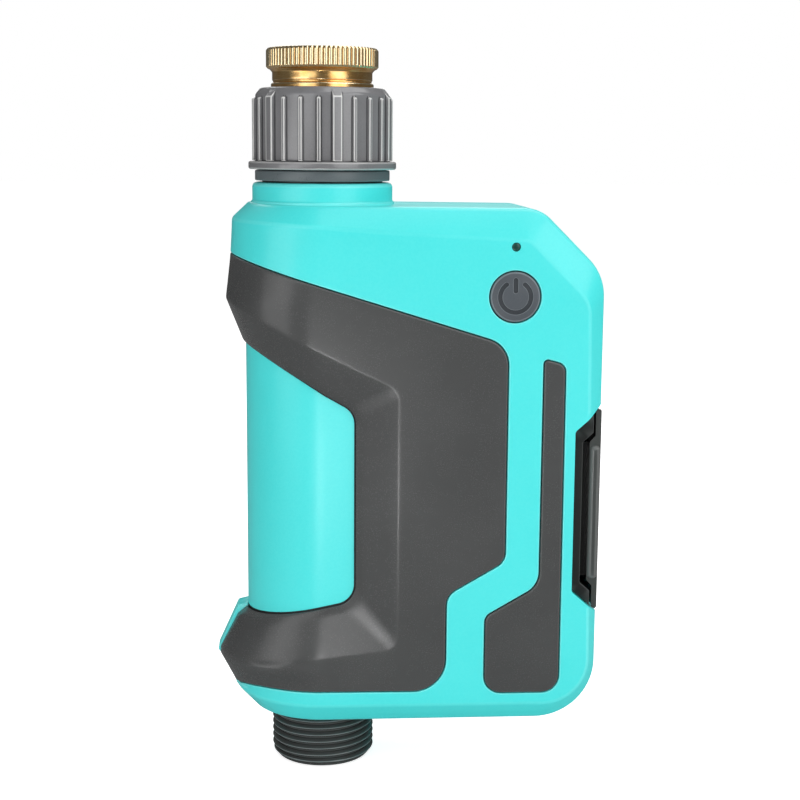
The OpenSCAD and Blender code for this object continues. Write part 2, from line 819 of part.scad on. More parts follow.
// Nut that turns on the spigot, with thin ribs and some wide ones
module swivel_nut() {
  color("gray") difference() {
    union() {
      rotate_extrude() polygon([
        [0, nut_z], [nut_flange_r - 0.6, nut_z], [nut_flange_r, nut_z + 0.7],
        [nut_flange_r, nut_z + nut_flange_h - 0.7],
        [nut_flange_r - 0.6, nut_z + nut_flange_h],
        [nut_body_r, nut_z + nut_flange_h], [nut_body_r, nut_top_z - nut_dome_h],
        [nut_body_r - 0.8, nut_top_z - 1.4], [nut_body_r - 1.9, nut_top_z - 0.4],
        [nut_body_r - 2.6, nut_top_z], [0, nut_top_z]
      ]);
      for (i = [0:nut_ribs - 1]) rotate([0, 0, 13.6 - 90 + i * 360 / nut_ribs]) {
        wide = i % nut_wide_every == 0;
        w = wide ? nut_wide_w : nut_rib_w;
        top = wide ? nut_top_z - 1.9 : nut_top_z - nut_dome_h - 0.35;
        low = nut_z + nut_flange_h - 0.4;
        translate([nut_body_r - 1.37, -w / 2, low])
          cube([nut_rib_r - nut_body_r + 1.37, w, top - low]);
      }
    }
    translate([0, 0, nut_z - 1]) cylinder(h = 40, r = spigot_r + 0.3);
    translate([0, 0, lip_top_z]) cylinder(h = 40, r = shank_r + shaft_gap);
    translate([0, 0, lip_top_z])
      cylinder(h = adapter_z - lip_top_z - 0.2, r = spigot_flange_r + 0.3);
  }
}

module glide_ring() {
  color("slategray") ring(glide_z, glide_z + glide_h, glide_r, spigot_r + 0.1);
}

module neck_collar() {
  color("turquoise") difference() {
    rotate_extrude() polygon([
      [0, body_h], [collar_r, body_h], [collar_r, body_h + collar_h - 1.2],
      [collar_r - 0.4, body_h + collar_h - 0.35], [collar_r - 1.2, body_h + collar_h],
      [0, body_h + collar_h]
    ]);
    translate([0, 0, body_h - 1]) cylinder(h = 20, r = spigot_r + 0.1);
  }
}

// Upper half of the valve body, which carries the nut
module inlet_spigot() {
  color("dimgray") difference() {
    union() {
      translate([0, 0, split_z]) cylinder(h = spigot_top_z - split_z, r = spigot_r);
      translate([0, 0, spigot_flange_z]) cylinder(h = spigot_flange_h, r = spigot_flange_r);
      translate([0, 0, split_z]) cylinder(h = flange_h, r = flange_r);
      translate([0, 0, valve_z + seat_low + seat_h])
        cylinder(h = split_z - valve_z - seat_low - seat_h + 0.1, r = chamber_in_r - 0.1);
      translate([0, 0, glide_z - 0.35]) cylinder(h = 0.35, r = glide_r - 1.8);
    }
    translate([0, 0, valve_z]) cylinder(h = 80, r = way_r + 0.8);
    for (a = [45:90:315]) rotate([0, 0, a])
      translate([screw_ring_r, 0, split_z - 1]) cylinder(h = 10, r = 1.05);
  }
}

// Threaded spout, whose flange rests inside on the floor of the case
module outlet_spout() {
  turns = floor((outlet_l - 3.4) / thread_pitch);
  color("darkslategray") difference() {
    union() {
      translate([0, 0, -outlet_l])
        cylinder(h = 1.4, r1 = outlet_r - outlet_depth, r2 = outlet_r);
      translate([0, 0, -outlet_l + 1.4]) cylinder(h = outlet_l - 1.8, r = outlet_r);
      translate([0, 0, -0.5]) cylinder(h = wall + 1, r = outlet_r - 0.7);
      translate([0, 0, wall + 0.05]) cylinder(h = spout_top_z - wall - 0.05, r = spout_flange_r);
      translate([0, 0, spout_top_z]) cylinder(h = socket_h - 0.05, r = socket_r);
    }
    translate([0, 0, -30]) cylinder(h = 30 + spout_top_z - 1.5, r = outlet_bore_r);
    translate([0, 0, -30]) cylinder(h = 80, r = way_r);
    for (i = [0:turns - 1]) translate([0, 0, -1.9 - i * thread_pitch])
      rotate_extrude() polygon([
        [outlet_r + 1, 0.1], [outlet_r, 0.1], [outlet_r - outlet_depth, -0.45],
        [outlet_r - outlet_depth, -0.75], [outlet_r, -1.3], [outlet_r + 1, -1.3]
      ]);
  }
}

// Lower half of the valve body: ball chamber and water tube
module valve_housing() {
  color("darkslategray") difference() {
    union() {
      translate([0, 0, housing_low_z]) cylinder(h = split_z - housing_low_z, r = chamber_r);
      translate([0, 0, split_z - flange_h]) cylinder(h = flange_h, r = flange_r);
      translate([0, 0, housing_low_z - 7])
        cylinder(h = 7.01, r1 = tube_r, r2 = chamber_r);
      translate([0, 0, spout_top_z]) cylinder(h = housing_low_z - spout_top_z, r = tube_r);
      translate([0, 0, spout_top_z]) cylinder(h = 3, r = spout_flange_r);
      rod_x(0, boss_end, 0, valve_z, boss_r);
    }
    translate([0, 0, valve_z - seat_low - seat_h]) cylinder(h = 60, r = chamber_in_r);
    translate([0, 0, spout_top_z]) cylinder(h = valve_z - spout_top_z, r = way_r);
    translate([0, 0, spout_top_z - 1])
      cylinder(h = 1 + socket_h, r = socket_r + 0.05);
    ring(split_z - 0.85, split_z + 1, seal_r + 0.55, seal_r - 0.55);
    rod_x(0, boss_end + 1, 0, valve_z, stem_r + shaft_gap);
    rod_x(stem_seal_x, stem_seal_x + 2.2, 0, valve_z, stem_r + 1.2);
    for (a = [45:90:315]) rotate([0, 0, a])
      translate([screw_ring_r, 0, split_z - flange_h - 1]) cylinder(h = 10, r = 0.9);
  }
}

module valve_ball() {
  color("silver") difference() {
    translate([0, 0, valve_z]) sphere(r = ball_r);
    rod_y(-20, 20, 0, valve_z, way_r);
    translate([tang_x - 0.1, -4.1, valve_z - 1.35]) cube([10, 8.2, 2.7]);
    translate([stem_x - 0.05, -6, valve_z - 6]) cube([10, 12, 12]);
  }
}

// Ring that the ball turns against
module seat_ring(up) {
  difference() {
    translate([0, 0, valve_z]) mirror([0, 0, up ? 0 : 1])
      translate([0, 0, seat_low]) cylinder(h = seat_h, r = chamber_in_r - 0.05);
    translate([0, 0, valve_z]) sphere(r = ball_r + shaft_gap);
    translate([0, 0, valve_z - 20]) cylinder(h = 40, r = way_r);
  }
}

module upper_seat() {
  color("white") seat_ring(true);
}

module lower_seat() {
  color("white") seat_ring(false);
}

module valve_stem() {
  color("silver") {
    rod_x(stem_x, output_x + output_w, 0, valve_z, stem_r);
    intersection() {
      rod_x(tang_x, stem_x + 0.1, 0, valve_z, 4);
      translate([0, -4, valve_z - 1.25]) cube([stem_x, 8, 2.5]);
    }
  }
}

module stem_seal() {
  color("black") difference() {
    rod_x(stem_seal_x + 0.1, stem_seal_x + 2.1, 0, valve_z, stem_r + 1.15);
    rod_x(0, 60, 0, valve_z, stem_r + shaft_gap);
  }
}

module spigot_seal() {
  color("black") ring(split_z - 0.8, split_z, seal_r + 0.5, seal_r - 0.5);
}

module flange_screws() {
  color("silver") for (a = [45:90:315]) rotate([0, 0, a]) translate([screw_ring_r, 0, 0]) {
    translate([0, 0, split_z - flange_h + 0.2]) cylinder(h = 2 * flange_h - 0.1, r = 0.85);
    translate([0, 0, split_z + flange_h]) cylinder(h = 1.4, r = 1.7);
  }
}

// Straight flanked gear with a tooth at the given turn
module gear(teeth, turn) {
  r = gear_m * teeth / 2;
  deg = 180 / PI;
  half = gear_m * 0.785 * 0.86;
  steps = [
    [r - 1.15 * gear_m, half * 1.45], [r, half],
    [r + 0.85 * gear_m, half - 0.33 * gear_m]
  ];
  polygon([for (i = [0:teeth - 1])
    let (c = turn + i * 360 / teeth)
    each concat(
      [for (s = steps) let (a = c - s[1] / s[0] * deg) s[0] * [cos(a), sin(a)]],
      [for (k = [2:-1:0]) let (s = steps[k], a = c + s[1] / s[0] * deg)
        s[0] * [cos(a), sin(a)]]
    )]);
}

module output_gear() {
  color("ivory") difference() {
    translate([0, 0, valve_z]) sideways(output_x, output_x + output_w)
      gear(output_teeth, mesh1_a);
    rod_x(0, 60, 0, valve_z, stem_r);
  }
}

module compound_gear() {
  color("ivory") difference() {
    union() {
      translate([0, compound_y, compound_z]) sideways(output_x - 0.2, large_x)
        gear(small_teeth, mesh1_a + 180 + 180 / small_teeth);
      translate([0, compound_y, compound_z]) sideways(large_x, large_x + large_w)
        gear(large_teeth, mesh2_a);
    }
    rod_x(0, 60, compound_y, compound_z, axle_r + shaft_gap);
  }
}

module compound_axle() {
  color("silver") rod_x(boss_end, motor_x, compound_y, compound_z, axle_r);
}

module motor_pinion() {
  color("goldenrod") difference() {
    translate([0, motor_y, motor_z]) sideways(large_x - 0.2, large_x + large_w)
      gear(pinion_teeth, mesh2_a + 180 + 180 / pinion_teeth);
    rod_x(0, 60, motor_y, motor_z, motor_shaft_r);
  }
}

module motor_shaft() {
  color("silver") rod_x(large_x - 0.1, motor_x + 4, motor_y, motor_z, motor_shaft_r);
}

module valve_motor() {
  color("lightgray") difference() {
    union() {
      intersection() {
        rod_x(motor_x, motor_x + motor_l, motor_y, motor_z, motor_w / 2);
        translate([motor_x, motor_y - motor_flats / 2, motor_z - motor_w])
          cube([motor_l, motor_flats, 2 * motor_w]);
      }
      rod_x(motor_x + motor_l - 0.1, motor_x + motor_l + 1.2, motor_y, motor_z, 3);
    }
    rod_x(motor_x - 1, motor_x + 5, motor_y, motor_z, motor_shaft_r + shaft_gap);
  }
}

// Two plates and four posts that carry the gears and the motor
module gear_frame() {
  low = compound_z - large_pr - 2.6;
  high = valve_z + output_pr + 2.2;
  post_y = output_pr + 0.4;
  color("darkgray") difference() {
    union() {
      for (x = [boss_end, plate2_x]) translate([x, -post_y, low])
        cube([plate_t, 2 * post_y, high - low]);
      for (y = [-post_y + 1, post_y - 1], z = [low + 1, high - 1])
        translate([boss_end, y - 1, z - 1]) cube([plate2_x - boss_end + 0.1, 2, 2]);
    }
    rod_x(0, 60, 0, valve_z, stem_r + 0.3);
    rod_x(0, 60, compound_y, compound_z, axle_r + 0.02);
    rod_x(plate2_x - 1, 60, motor_y, motor_z, pinion_pr + 1);
  }
}

module main_board() {
  color("darkgreen") difference() {
    across(board_y, board_y + board_t) polygon([
      [board_left, board_low], [board_right, board_low], [board_right, board_high],
      [board_left, board_high]
    ]);
    for (p = board_posts) rod_y(board_y - 1, board_y + board_t + 1, p[0], p[1], 1.1);
  }
}

module board_screws() {
  color("silver") for (p = board_posts) {
    rod_y(board_y - 3.5, board_y + board_t, p[0], p[1], 0.78);
    rod_y(board_y + board_t, board_y + board_t + 1.2, p[0], p[1], 1.8);
  }
}

module radio_module() {
  color("silver") {
    translate([board_right - radio_w - 5.5, board_y - 0.8, board_low + 1.2])
      cube([radio_w, 0.8, radio_h]);
    translate([board_right - radio_w - 5, board_y - 2.6, board_low + 1.8])
      cube([radio_w - 1, 1.8, radio_h - 5]);
  }
}

module button_switch() {
  color("black") difference() {
    translate([button_x - 3, switch_front, button_z - 3]) cube([6, switch_h, 6]);
    rod_y(switch_front - 1, switch_front + button_travel + 1, button_x, button_z, 1.8);
  }
}

// Piece of the switch that goes in with the button
module switch_plunger() {
  color("red") rod_y(switch_front - 0.7, switch_front + 0.7, button_x, button_z, 1.7);
}

// Round cap with the standby sign sunk into it, and a stem down to the switch
module power_button() {
  front = -body_half;
  flange_y = -upper_half + seal_t + 0.05;
  color("dimgray") difference() {
    union() {
      rod_y(front, flange_y, button_x, button_z, button_r);
      intersection() {
        rod_y(front - 0.5, front + 0.1, button_x, button_z, button_r);
        translate([button_x, front - 0.5 + 40, button_z]) sphere(r = 40);
      }
      rod_y(flange_y, flange_y + 0.7, button_x, button_z, button_r + 1.3);
      rod_y(flange_y, switch_front - 0.7, button_x, button_z, 2);
    }
    difference() {
      rod_y(front - 1, front + 0.2, button_x, button_z, 4.3);
      rod_y(front - 2, front + 1, button_x, button_z, 3.2);
      translate([button_x - 1.7, front - 2, button_z]) cube([3.4, 4, 6]);
    }
    translate([button_x - 0.6, front - 1, button_z + 0.9]) cube([1.2, 1.2, 4]);
  }
}

module button_gasket() {
  color("black") difference() {
    rod_y(-upper_half, -upper_half + seal_t, button_x, button_z, button_r + 1.6);
    rod_y(-upper_half - 1, -upper_half + 2, button_x, button_z, button_r + 0.35);
  }
}

module light_window() {
  color("white") {
    rod_y(-body_half, board_y - 1.6, button_x, button_z + light_up, light_r);
    rod_y(-upper_half, -upper_half + 1, button_x, button_z + light_up, light_r + 0.6);
  }
}

module status_light() {
  color("yellow") translate([button_x - 1.5, board_y - 1.4, button_z + light_up - 1.5])
    cube([3, 1.4, 3]);
}

// Sleeve that guides the drawer, closed at its left end
module battery_sleeve() {
  color("gray") difference() {
    translate([sleeve_left, -sleeve_half, drawer_z - sleeve_half])
      cube([notch_x - sleeve_left, 2 * sleeve_half, 2 * sleeve_half]);
    translate([sleeve_left + sleeve_wall, -sleeve_in_half, drawer_z - sleeve_in_half])
      cube([80, 2 * sleeve_in_half, 2 * sleeve_in_half]);
  }
}

// Frame at the bottom of the side notch
module battery_bezel() {
  h = notch_half - 0.3;
  color("dimgray") difference() {
    translate([notch_x + 0.02, -bezel_half, drawer_z - h]) cube([bezel_t - 0.02, 2 * bezel_half, 2 * h]);
    translate([0, -sleeve_in_half, drawer_z - sleeve_in_half])
      cube([80, 2 * sleeve_in_half, 2 * sleeve_in_half]);
  }
}

// Tray that is open on top, with a rib between the two rows of cells
module battery_tray() {
  color("dimgray") difference() {
    translate([tray_left, -tray_half, tray_low])
      cube([door_left - tray_left, 2 * tray_half, 2 * tray_half]);
    translate([tray_left + tray_wall, -tray_in_half, tray_low + tray_wall])
      cube([80, 2 * tray_in_half, 2 * tray_half]);
    translate([tray_left + 8, -tray_half - 1, drawer_z])
      cube([door_left - tray_left - 16, 2 * tray_half + 2, tray_half + 1]);
  }
}

module battery_cells() {
  color("orange") for (y = [-0.5, 0.5], z = [-0.5, 0.5]) {
    cy = y * cell_step;
    cz = drawer_z + z * cell_step;
    nub = y * z > 0;
    rod_x(nub ? cell_left : cell_left + 1.2, nub ? cell_right - 1.2 : cell_right, cy, cz,
      cell_d / 2);
    rod_x(nub ? cell_right - 1.25 : cell_left, nub ? cell_right : cell_left + 1.25, cy, cz, 2.7);
  }
}

module tray_contacts() {
  x = tray_left + tray_wall;
  color("silver") for (y = [-0.5, 0.5], z = [-0.5, 0.5]) {
    cy = y * cell_step;
    cz = drawer_z + z * cell_step;
    translate([x, cy - 4.5, cz - 4.5]) cube([0.4, 9, 9]);
    rod_x(x + 0.35, cell_left, cy, cz, 2.6);
  }
}

// Door slab with slanted ends, thinner at its two ends so that fingers can get behind it
module drawer_door() {
  w = door_right - door_left;
  lip = 1.3;
  k = door_half - 5.4;
  color("dimgray") difference() {
    across(-door_half_y, door_half_y) translate([0, drawer_z]) polygon([
      [door_left, -k], [door_left + lip, -k - lip], [door_left + lip, -door_half + 1.6],
      [door_right, -door_half - 0.6], [door_right, door_half + 0.6],
      [door_left + lip, door_half - 1.6], [door_left + lip, k + lip], [door_left, k]
    ]);
    for (s = [0, 1]) mirror([0, s, 0])
      translate([door_right, -body_half + bevel_depth + 0.2, -5]) linear_extrude(height = 140)
      polygon([[1, 0.2], [-side_bevel, -side_bevel * 1.1], [-side_bevel, -9], [1, -9]]);
  }
}

module drawer_seal() {
  h = sleeve_in_half + 0.6;
  color("black") difference() {
    translate([door_left - seal_t, -h, drawer_z - h]) cube([seal_t, 2 * h, 2 * h]);
    translate([0, -tray_half - 0.1, drawer_z - tray_half - 0.1])
      cube([200, 2 * tray_half + 0.2, 2 * tray_half + 0.2]);
  }
}

// Spring contacts at the closed end of the sleeve
module contact_block() {
  x = sleeve_left + sleeve_wall;
  color("goldenrod") for (y = [-0.5, 0.5])
    translate([x, y * cell_step - 3, drawer_z - 3]) cube([0.3, 6, 6]);
}

// Moves a piece from case heights to the origin in the adapter's mouth
module placed() {
  translate([0, 0, -origin_z]) children();
}

placed() brass_adapter();
placed() adapter_washer();
placed() inlet_filter();
placed() swivel_nut();
placed() glide_ring();
placed() inlet_spigot();
placed() neck_collar();
placed() outlet_spout();
placed() valve_housing();
placed() valve_ball();
placed() upper_seat();
placed() lower_seat();
placed() valve_stem();
placed() stem_seal();
placed() spigot_seal();
placed() flange_screws();
placed() output_gear();
placed() compound_gear();
placed() compound_axle();
placed() motor_pinion();
placed() motor_shaft();
placed() valve_motor();
placed() gear_frame();
placed() main_board();
placed() radio_module();
placed() board_screws();
placed() button_switch();
placed() switch_plunger();
placed() power_button();
placed() button_gasket();
placed() light_window();
placed() status_light();
placed() front_shell();
placed() rear_shell();
placed() case_gasket();
placed() case_screws();
placed() front_grip();
placed() rear_grip();
placed() front_slim_trim();
placed() rear_slim_trim();
placed() battery_sleeve();
placed() battery_bezel();
placed() battery_tray();
placed() drawer_door();
placed() drawer_seal();
placed() battery_cells();
placed() tray_contacts();
placed() contact_block();
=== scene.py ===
import math

import bmesh
import bpy
import numpy as np
from mathutils import Matrix
from mathutils.geometry import delaunay_2d_cdt


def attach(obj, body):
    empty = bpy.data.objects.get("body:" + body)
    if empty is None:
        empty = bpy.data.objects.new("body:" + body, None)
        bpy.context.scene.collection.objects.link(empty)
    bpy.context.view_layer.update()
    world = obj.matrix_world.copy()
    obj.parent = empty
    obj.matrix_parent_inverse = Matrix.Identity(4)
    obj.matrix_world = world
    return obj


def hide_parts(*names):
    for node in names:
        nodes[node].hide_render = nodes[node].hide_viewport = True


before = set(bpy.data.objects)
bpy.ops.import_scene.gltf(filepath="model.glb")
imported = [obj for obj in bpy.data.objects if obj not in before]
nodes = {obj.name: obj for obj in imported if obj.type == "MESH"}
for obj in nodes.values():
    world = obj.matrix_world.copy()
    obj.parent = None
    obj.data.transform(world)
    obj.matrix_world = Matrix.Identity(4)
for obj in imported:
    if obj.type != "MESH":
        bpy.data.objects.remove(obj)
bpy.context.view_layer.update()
print("frame loaded:", len(nodes), "nodes")

# Sizes are in millimetres, with heights from the underside of the case, as in the part's source.
mm = 0.001
mouthHeight = 166.1  # height of the origin above the underside of the case


# Wraps a socket: an expression on wires adds its Math nodes, and make() adds any other node
class Wire:
    def __init__(self, tree, socket=None):
        self.tree, self.socket = tree, socket

    def make(self, kind, settings=None, sockets=None, out=0):
        node = self.tree.nodes.new("ShaderNode" + kind)
        for key, value in (settings or {}).items():
            setattr(node, key, value)
        for key, value in (sockets or {}).items():
            if isinstance(value, Wire):
                self.tree.links.new(value.socket, node.inputs[key])
            else:
                node.inputs[key].default_value = value
        return Wire(self.tree, node.outputs[out] if node.outputs else None)

    def do(self, operation, *values):
        return self.make("Math", {"operation": operation}, dict(enumerate((self, *values))))

    def __add__(self, other):
        return self.do("ADD", other)

    __radd__ = __add__

    def __mul__(self, other):
        return self.do("MULTIPLY", other)

    __rmul__ = __mul__

    def __sub__(self, other):
        return self.do("SUBTRACT", other)

    def __rsub__(self, other):
        return self.make("Math", {"operation": "SUBTRACT"}, {0: other, 1: self})

    def __truediv__(self, other):
        return self.do("DIVIDE", other)

    # Smooth step from 0 at low to 1 at high
    def rise(self, low, high):
        return self.make("MapRange", {"interpolation_type": "SMOOTHSTEP"},
                         {"Value": self, "From Min": low, "From Max": high})

    # Fractal noise at this vector: size is the width of one blotch in millimetres
    def noise(self, size, detail=2.0, rough=0.5):
        return self.make("TexNoise", {}, {"Vector": self, "Scale": 1 / (size * mm),
                                          "Detail": detail, "Roughness": rough})

    # Colour a where this is 0, colour b where it is 1
    def blend(self, a, b):
        return self.make("Mix", {"data_type": "RGBA"}, {0: self, 6: a, 7: b}, out=2)

    # Normal that follows this height, whose full range is depth millimetres
    def bump(self, depth):
        return self.make("Bump", {}, {"Height": self, "Distance": depth * mm, "Strength": 1.0})

    # X, Y and Z of this vector
    def parts(self):
        split = self.make("SeparateXYZ", {}, {0: self})
        return [Wire(self.tree, s) for s in split.socket.node.outputs]


# Linear colour from the 0 to 255 values of a picture
def tint(*levels):
    shares = [level / 255 for level in levels]
    return (*(s / 12.92 if s <= 0.04045 else ((s + 0.055) / 1.055) ** 2.4 for s in shares), 1.0)


# Clears the node tree of a material or world and gives a wire to build from
def startOf(owner):
    owner.use_nodes = True
    owner.node_tree.nodes.clear()
    return Wire(owner.node_tree)


# Material whose Principled shader gets what build() makes of the object's own coordinates
def material(name, build):
    made = bpy.data.materials.new(name)
    start = startOf(made)
    shader = start.make("BsdfPrincipled", {}, build(start.make("TexCoord", out=3)))
    start.make("OutputMaterial", {}, {"Surface": shader})
    made.diffuse_color = (0.5, 0.5, 0.5, 1)
    return made


# Painted highlight and painted shade from the mesh's own bend value: ridges go towards the lighter highlight colour
# and valleys towards the shaded one, from none at the first value of their span to the full share at the second
def paintEdgeHighlightAndShade(place, base, look):
    bend = place.make("Attribute", {"attribute_name": "bend"}, out=2)
    base = (bend.rise(*look["ridgeSpan"]) * look["ridge"]).blend(base, tint(*look["ridgeHighlight"]))
    return ((bend * -1).rise(*look["valleySpan"]) * look["valley"]).blend(base, tint(*look["shaded"]))


# Values of a plastic whose look doesn't give them: noise widths and bump depth in millimetres
plasticPlain = {"grain": 0.3, "depth": 0.004, "cloud": 30, "scuff": 5, "speckle": 0.15, "roughVary": 0.1,
                "polish": 0.04, "ridge": 0.3, "ridgeSpan": (0.2, 0.9), "valley": 0.3, "valleySpan": (0.2, 0.9),
                "index": 1.48, "more": {}}


# Moulded plastic: slow mottling of the colour, a fine grain, faint scuffs that change the gloss, and painted highlights
# on ridges with painted shade in valleys
def plastic(name, look):
    # By default ridges get the fleck colour as a painted highlight and valleys the low colour as painted shade
    look = {**plasticPlain, "ridgeHighlight": look["fleck"], "shaded": look["low"], **look}

    def build(place):
        cloud = place.noise(look["cloud"], 3)
        grain = place.noise(look["grain"], 3, 0.6)
        scuff = place.noise(look["scuff"], 3, 0.6).rise(0.5, 0.8)
        base = cloud.rise(0.3, 0.7).blend(tint(*look["low"]), tint(*look["high"]))
        base = (grain.rise(0.35, 0.65) * look["speckle"]).blend(base, tint(*look["fleck"]))
        rough = look["rough"] + (grain - 0.5) * look["roughVary"] - scuff * look["polish"]
        return {"Base Color": paintEdgeHighlightAndShade(place, base, look), "Roughness": rough, "Normal": grain.bump(look["depth"]),
                "IOR": look["index"], **look["more"]}
    return material(name, build)


# Metal defaults: a strong painted highlight on ridges and painted shade in sharp valleys
metalPlain = {"roughVary": 0.2, "ridge": 0.95, "ridgeSpan": (0.15, 1.1), "valley": 0.35, "valleySpan": (0.8, 3.0)}


# Turned or rolled metal: fine rings round the column axis, stains that dull it, and painted highlights on ridges with
# painted shade in valleys
def metal(name, look):
    # By default ridges get the high colour as a painted highlight and valleys the low colour as painted shade
    look = {**metalPlain, "ridgeHighlight": look["high"], "shaded": look["low"], **look}

    def build(place):
        x, y, z = place.parts()
        lathe = place.make("CombineXYZ", {}, {0: (x * x + y * y).do("SQRT"), 2: z})
        rings = lathe.noise(look["ring"], 4, 0.7)
        stain = place.noise(look["stain"], 5, 0.6)
        base = stain.rise(0.35, 0.7).blend(tint(*look["high"]), tint(*look["low"]))
        rough = look["rough"] + (stain - 0.5) * look["roughVary"] + (rings - 0.5) * 0.1
        return {"Base Color": paintEdgeHighlightAndShade(place, base, look), "Metallic": 1.0, "Roughness": rough,
                "Normal": rings.bump(look["depth"])}
    return material(name, build)


boardLook = {"traces": ("CHEBYCHEV", 420.0), "pads": ("EUCLIDEAN", 190.0), "padSize": 0.16, "lines": 9.0,
             "lineEdge": (0.42, 0.58), "green": ((16, 84, 52), (30, 112, 70)), "tin": (196, 200, 198), "shine": 0.8,
             "rough": 0.3, "roughVary": 0.08, "depth": 0.03}


# Circuit board: green lacquer over a maze of traces, with tinned pads
def board(place):
    look = boardLook
    x, y, z = place.parts()
    flat = place.make("CombineXYZ", {}, {0: x, 1: z})
    cell, spot = (flat.make("TexVoronoi", {"feature": "F1", "distance": way}, {"Vector": flat, "Scale": scale})
                  for way, scale in (look["traces"], look["pads"]))
    trace = (cell * look["lines"]).do("FRACT").rise(*look["lineEdge"])
    pad = spot.do("LESS_THAN", look["padSize"])
    lacquer = trace.blend(*(tint(*green) for green in look["green"]))
    return {"Base Color": pad.blend(lacquer, tint(*look["tin"])), "Metallic": pad * look["shine"],
            "Roughness": look["rough"] + trace * look["roughVary"], "Normal": (trace + pad).bump(look["depth"])}


cellLook = {"ripple": 1.6, "band": (52.0, 52.3), "sleeve": ((26, 62, 92), (32, 72, 104)), "gold": (206, 160, 74),
            "shine": 0.7, "rough": 0.28, "roughVary": 0.12, "depth": 0.05}


# Wrapped cell: dark sleeve with a pale band near one end and a fine ripple of shrunk film
def cellWrap(place):
    look = cellLook
    x, y, z = place.parts()
    ripple = place.noise(look["ripple"], 4, 0.65)
    band = (x / mm).rise(*look["band"])
    sleeve = ripple.rise(0.3, 0.7).blend(*(tint(*blue) for blue in look["sleeve"]))
    return {"Base Color": band.blend(sleeve, tint(*look["gold"])), "Metallic": band * look["shine"],
            "Roughness": look["rough"] + ripple * look["roughVary"], "Normal": ripple.bump(look["depth"])}


# In each look the colour for ridges is a painted highlight and the shaded colour painted shade in valleys, in the
# shares ridge and valley
plastics = {
    # Case: a near-white painted highlight on edges and chamfers, and painted shade in creases
    "caseTurquoise": {"low": (71, 227, 226), "high": (77, 231, 230), "fleck": (94, 236, 234), "rough": 0.3,
                      "grain": 0.6, "depth": 0.0015, "speckle": 0.2, "cloud": 45, "polish": 0.0,
                      "ridge": 0.35, "ridgeHighlight": (150, 250, 248), "valley": 0.2, "shaded": (50, 196, 194)},
    "gripGrey": {"low": (68, 69, 69), "high": (73, 74, 74), "fleck": (84, 85, 85), "rough": 0.27,
                 "grain": 0.28, "depth": 0.001, "roughVary": 0.04, "polish": 0.02, "cloud": 25,
                 "ridge": 0.2, "ridgeHighlight": (110, 111, 111), "valley": 0.0},
    "doorGrey": {"low": (55, 58, 57), "high": (61, 64, 63), "fleck": (72, 75, 74), "rough": 0.3,
                 "polish": 0.02, "ridge": 0.6, "ridgeHighlight": (116, 118, 117)},
    "bezelBlack": {"low": (16, 19, 18), "high": (22, 25, 24), "fleck": (32, 35, 34), "rough": 0.34,
                   "speckle": 0.25, "ridge": 0.5, "ridgeHighlight": (84, 88, 86)},
    # Nut: a near-white painted highlight on rib tops and flange edges, and dark painted shade between the ribs
    "nutGrey": {"low": (115, 115, 117), "high": (123, 123, 125), "fleck": (136, 136, 138), "rough": 0.2,
                "index": 1.7, "speckle": 0.25, "cloud": 12, "ridge": 0.8, "ridgeHighlight": (228, 228, 226), "valley": 0.8,
                "shaded": (52, 52, 54), "ridgeSpan": (0.4, 1.5), "valleySpan": (0.4, 1.5)},
    "ringGrey": {"low": (92, 101, 104), "high": (100, 109, 112), "fleck": (112, 121, 124), "rough": 0.3,
                 "depth": 0.006},
    "valveGrey": {"low": (44, 45, 46), "high": (50, 51, 52), "fleck": (64, 65, 66), "rough": 0.4,
                  "grain": 0.4, "depth": 0.03},
    # Thread: a pale painted highlight along the crests and dark painted shade in the roots
    "threadBlack": {"low": (68, 71, 70), "high": (76, 79, 78), "fleck": (82, 84, 84), "rough": 0.24,
                    "index": 1.6, "ridge": 0.7, "ridgeHighlight": (150, 157, 158), "valley": 0.8,
                    "shaded": (32, 34, 34), "ridgeSpan": (1.0, 3.0), "valleySpan": (1.0, 3.0)},
    "insideBlack": {"low": (24, 24, 25), "high": (30, 30, 31), "fleck": (44, 44, 46), "rough": 0.5,
                    "grain": 0.4, "depth": 0.03},
    "frameGrey": {"low": (120, 122, 124), "high": (132, 134, 136), "fleck": (150, 152, 154), "rough": 0.45,
                  "grain": 0.5, "depth": 0.03},
    "seatWhite": {"low": (222, 222, 216), "high": (232, 232, 228), "fleck": (240, 240, 238), "rough": 0.35,
                  "grain": 0.6, "depth": 0.02, "speckle": 0.1},
    "gearIvory": {"low": (222, 212, 184), "high": (232, 223, 198), "fleck": (240, 234, 214), "rough": 0.4,
                  "grain": 0.5, "depth": 0.02, "speckle": 0.1},
    "sealRubber": {"low": (20, 20, 21), "high": (27, 27, 28), "fleck": (42, 42, 43), "rough": 0.7,
                   "grain": 0.25, "depth": 0.03, "roughVary": 0.2},
    # Button: a painted highlight on the rim and the sign's edges, and painted shade at the engraved sign's edges
    "buttonGrey": {"low": (72, 78, 84), "high": (78, 84, 90), "fleck": (92, 98, 104), "rough": 0.4,
                   "grain": 0.28, "depth": 0.01, "speckle": 0.25, "cloud": 10,
                   "ridge": 0.7, "ridgeHighlight": (128, 136, 142), "valley": 0.7, "shaded": (34, 40, 46)},
    "lightDark": {"low": (22, 58, 52), "high": (30, 74, 66), "fleck": (40, 96, 84), "rough": 0.12,
                  "grain": 0.5, "cloud": 1.2},
    "lightClear": {"low": (196, 204, 206), "high": (208, 216, 218), "fleck": (226, 232, 234), "rough": 0.15,
                   "grain": 0.4, "depth": 0.01, "more": {"Transmission Weight": 0.6}},
}
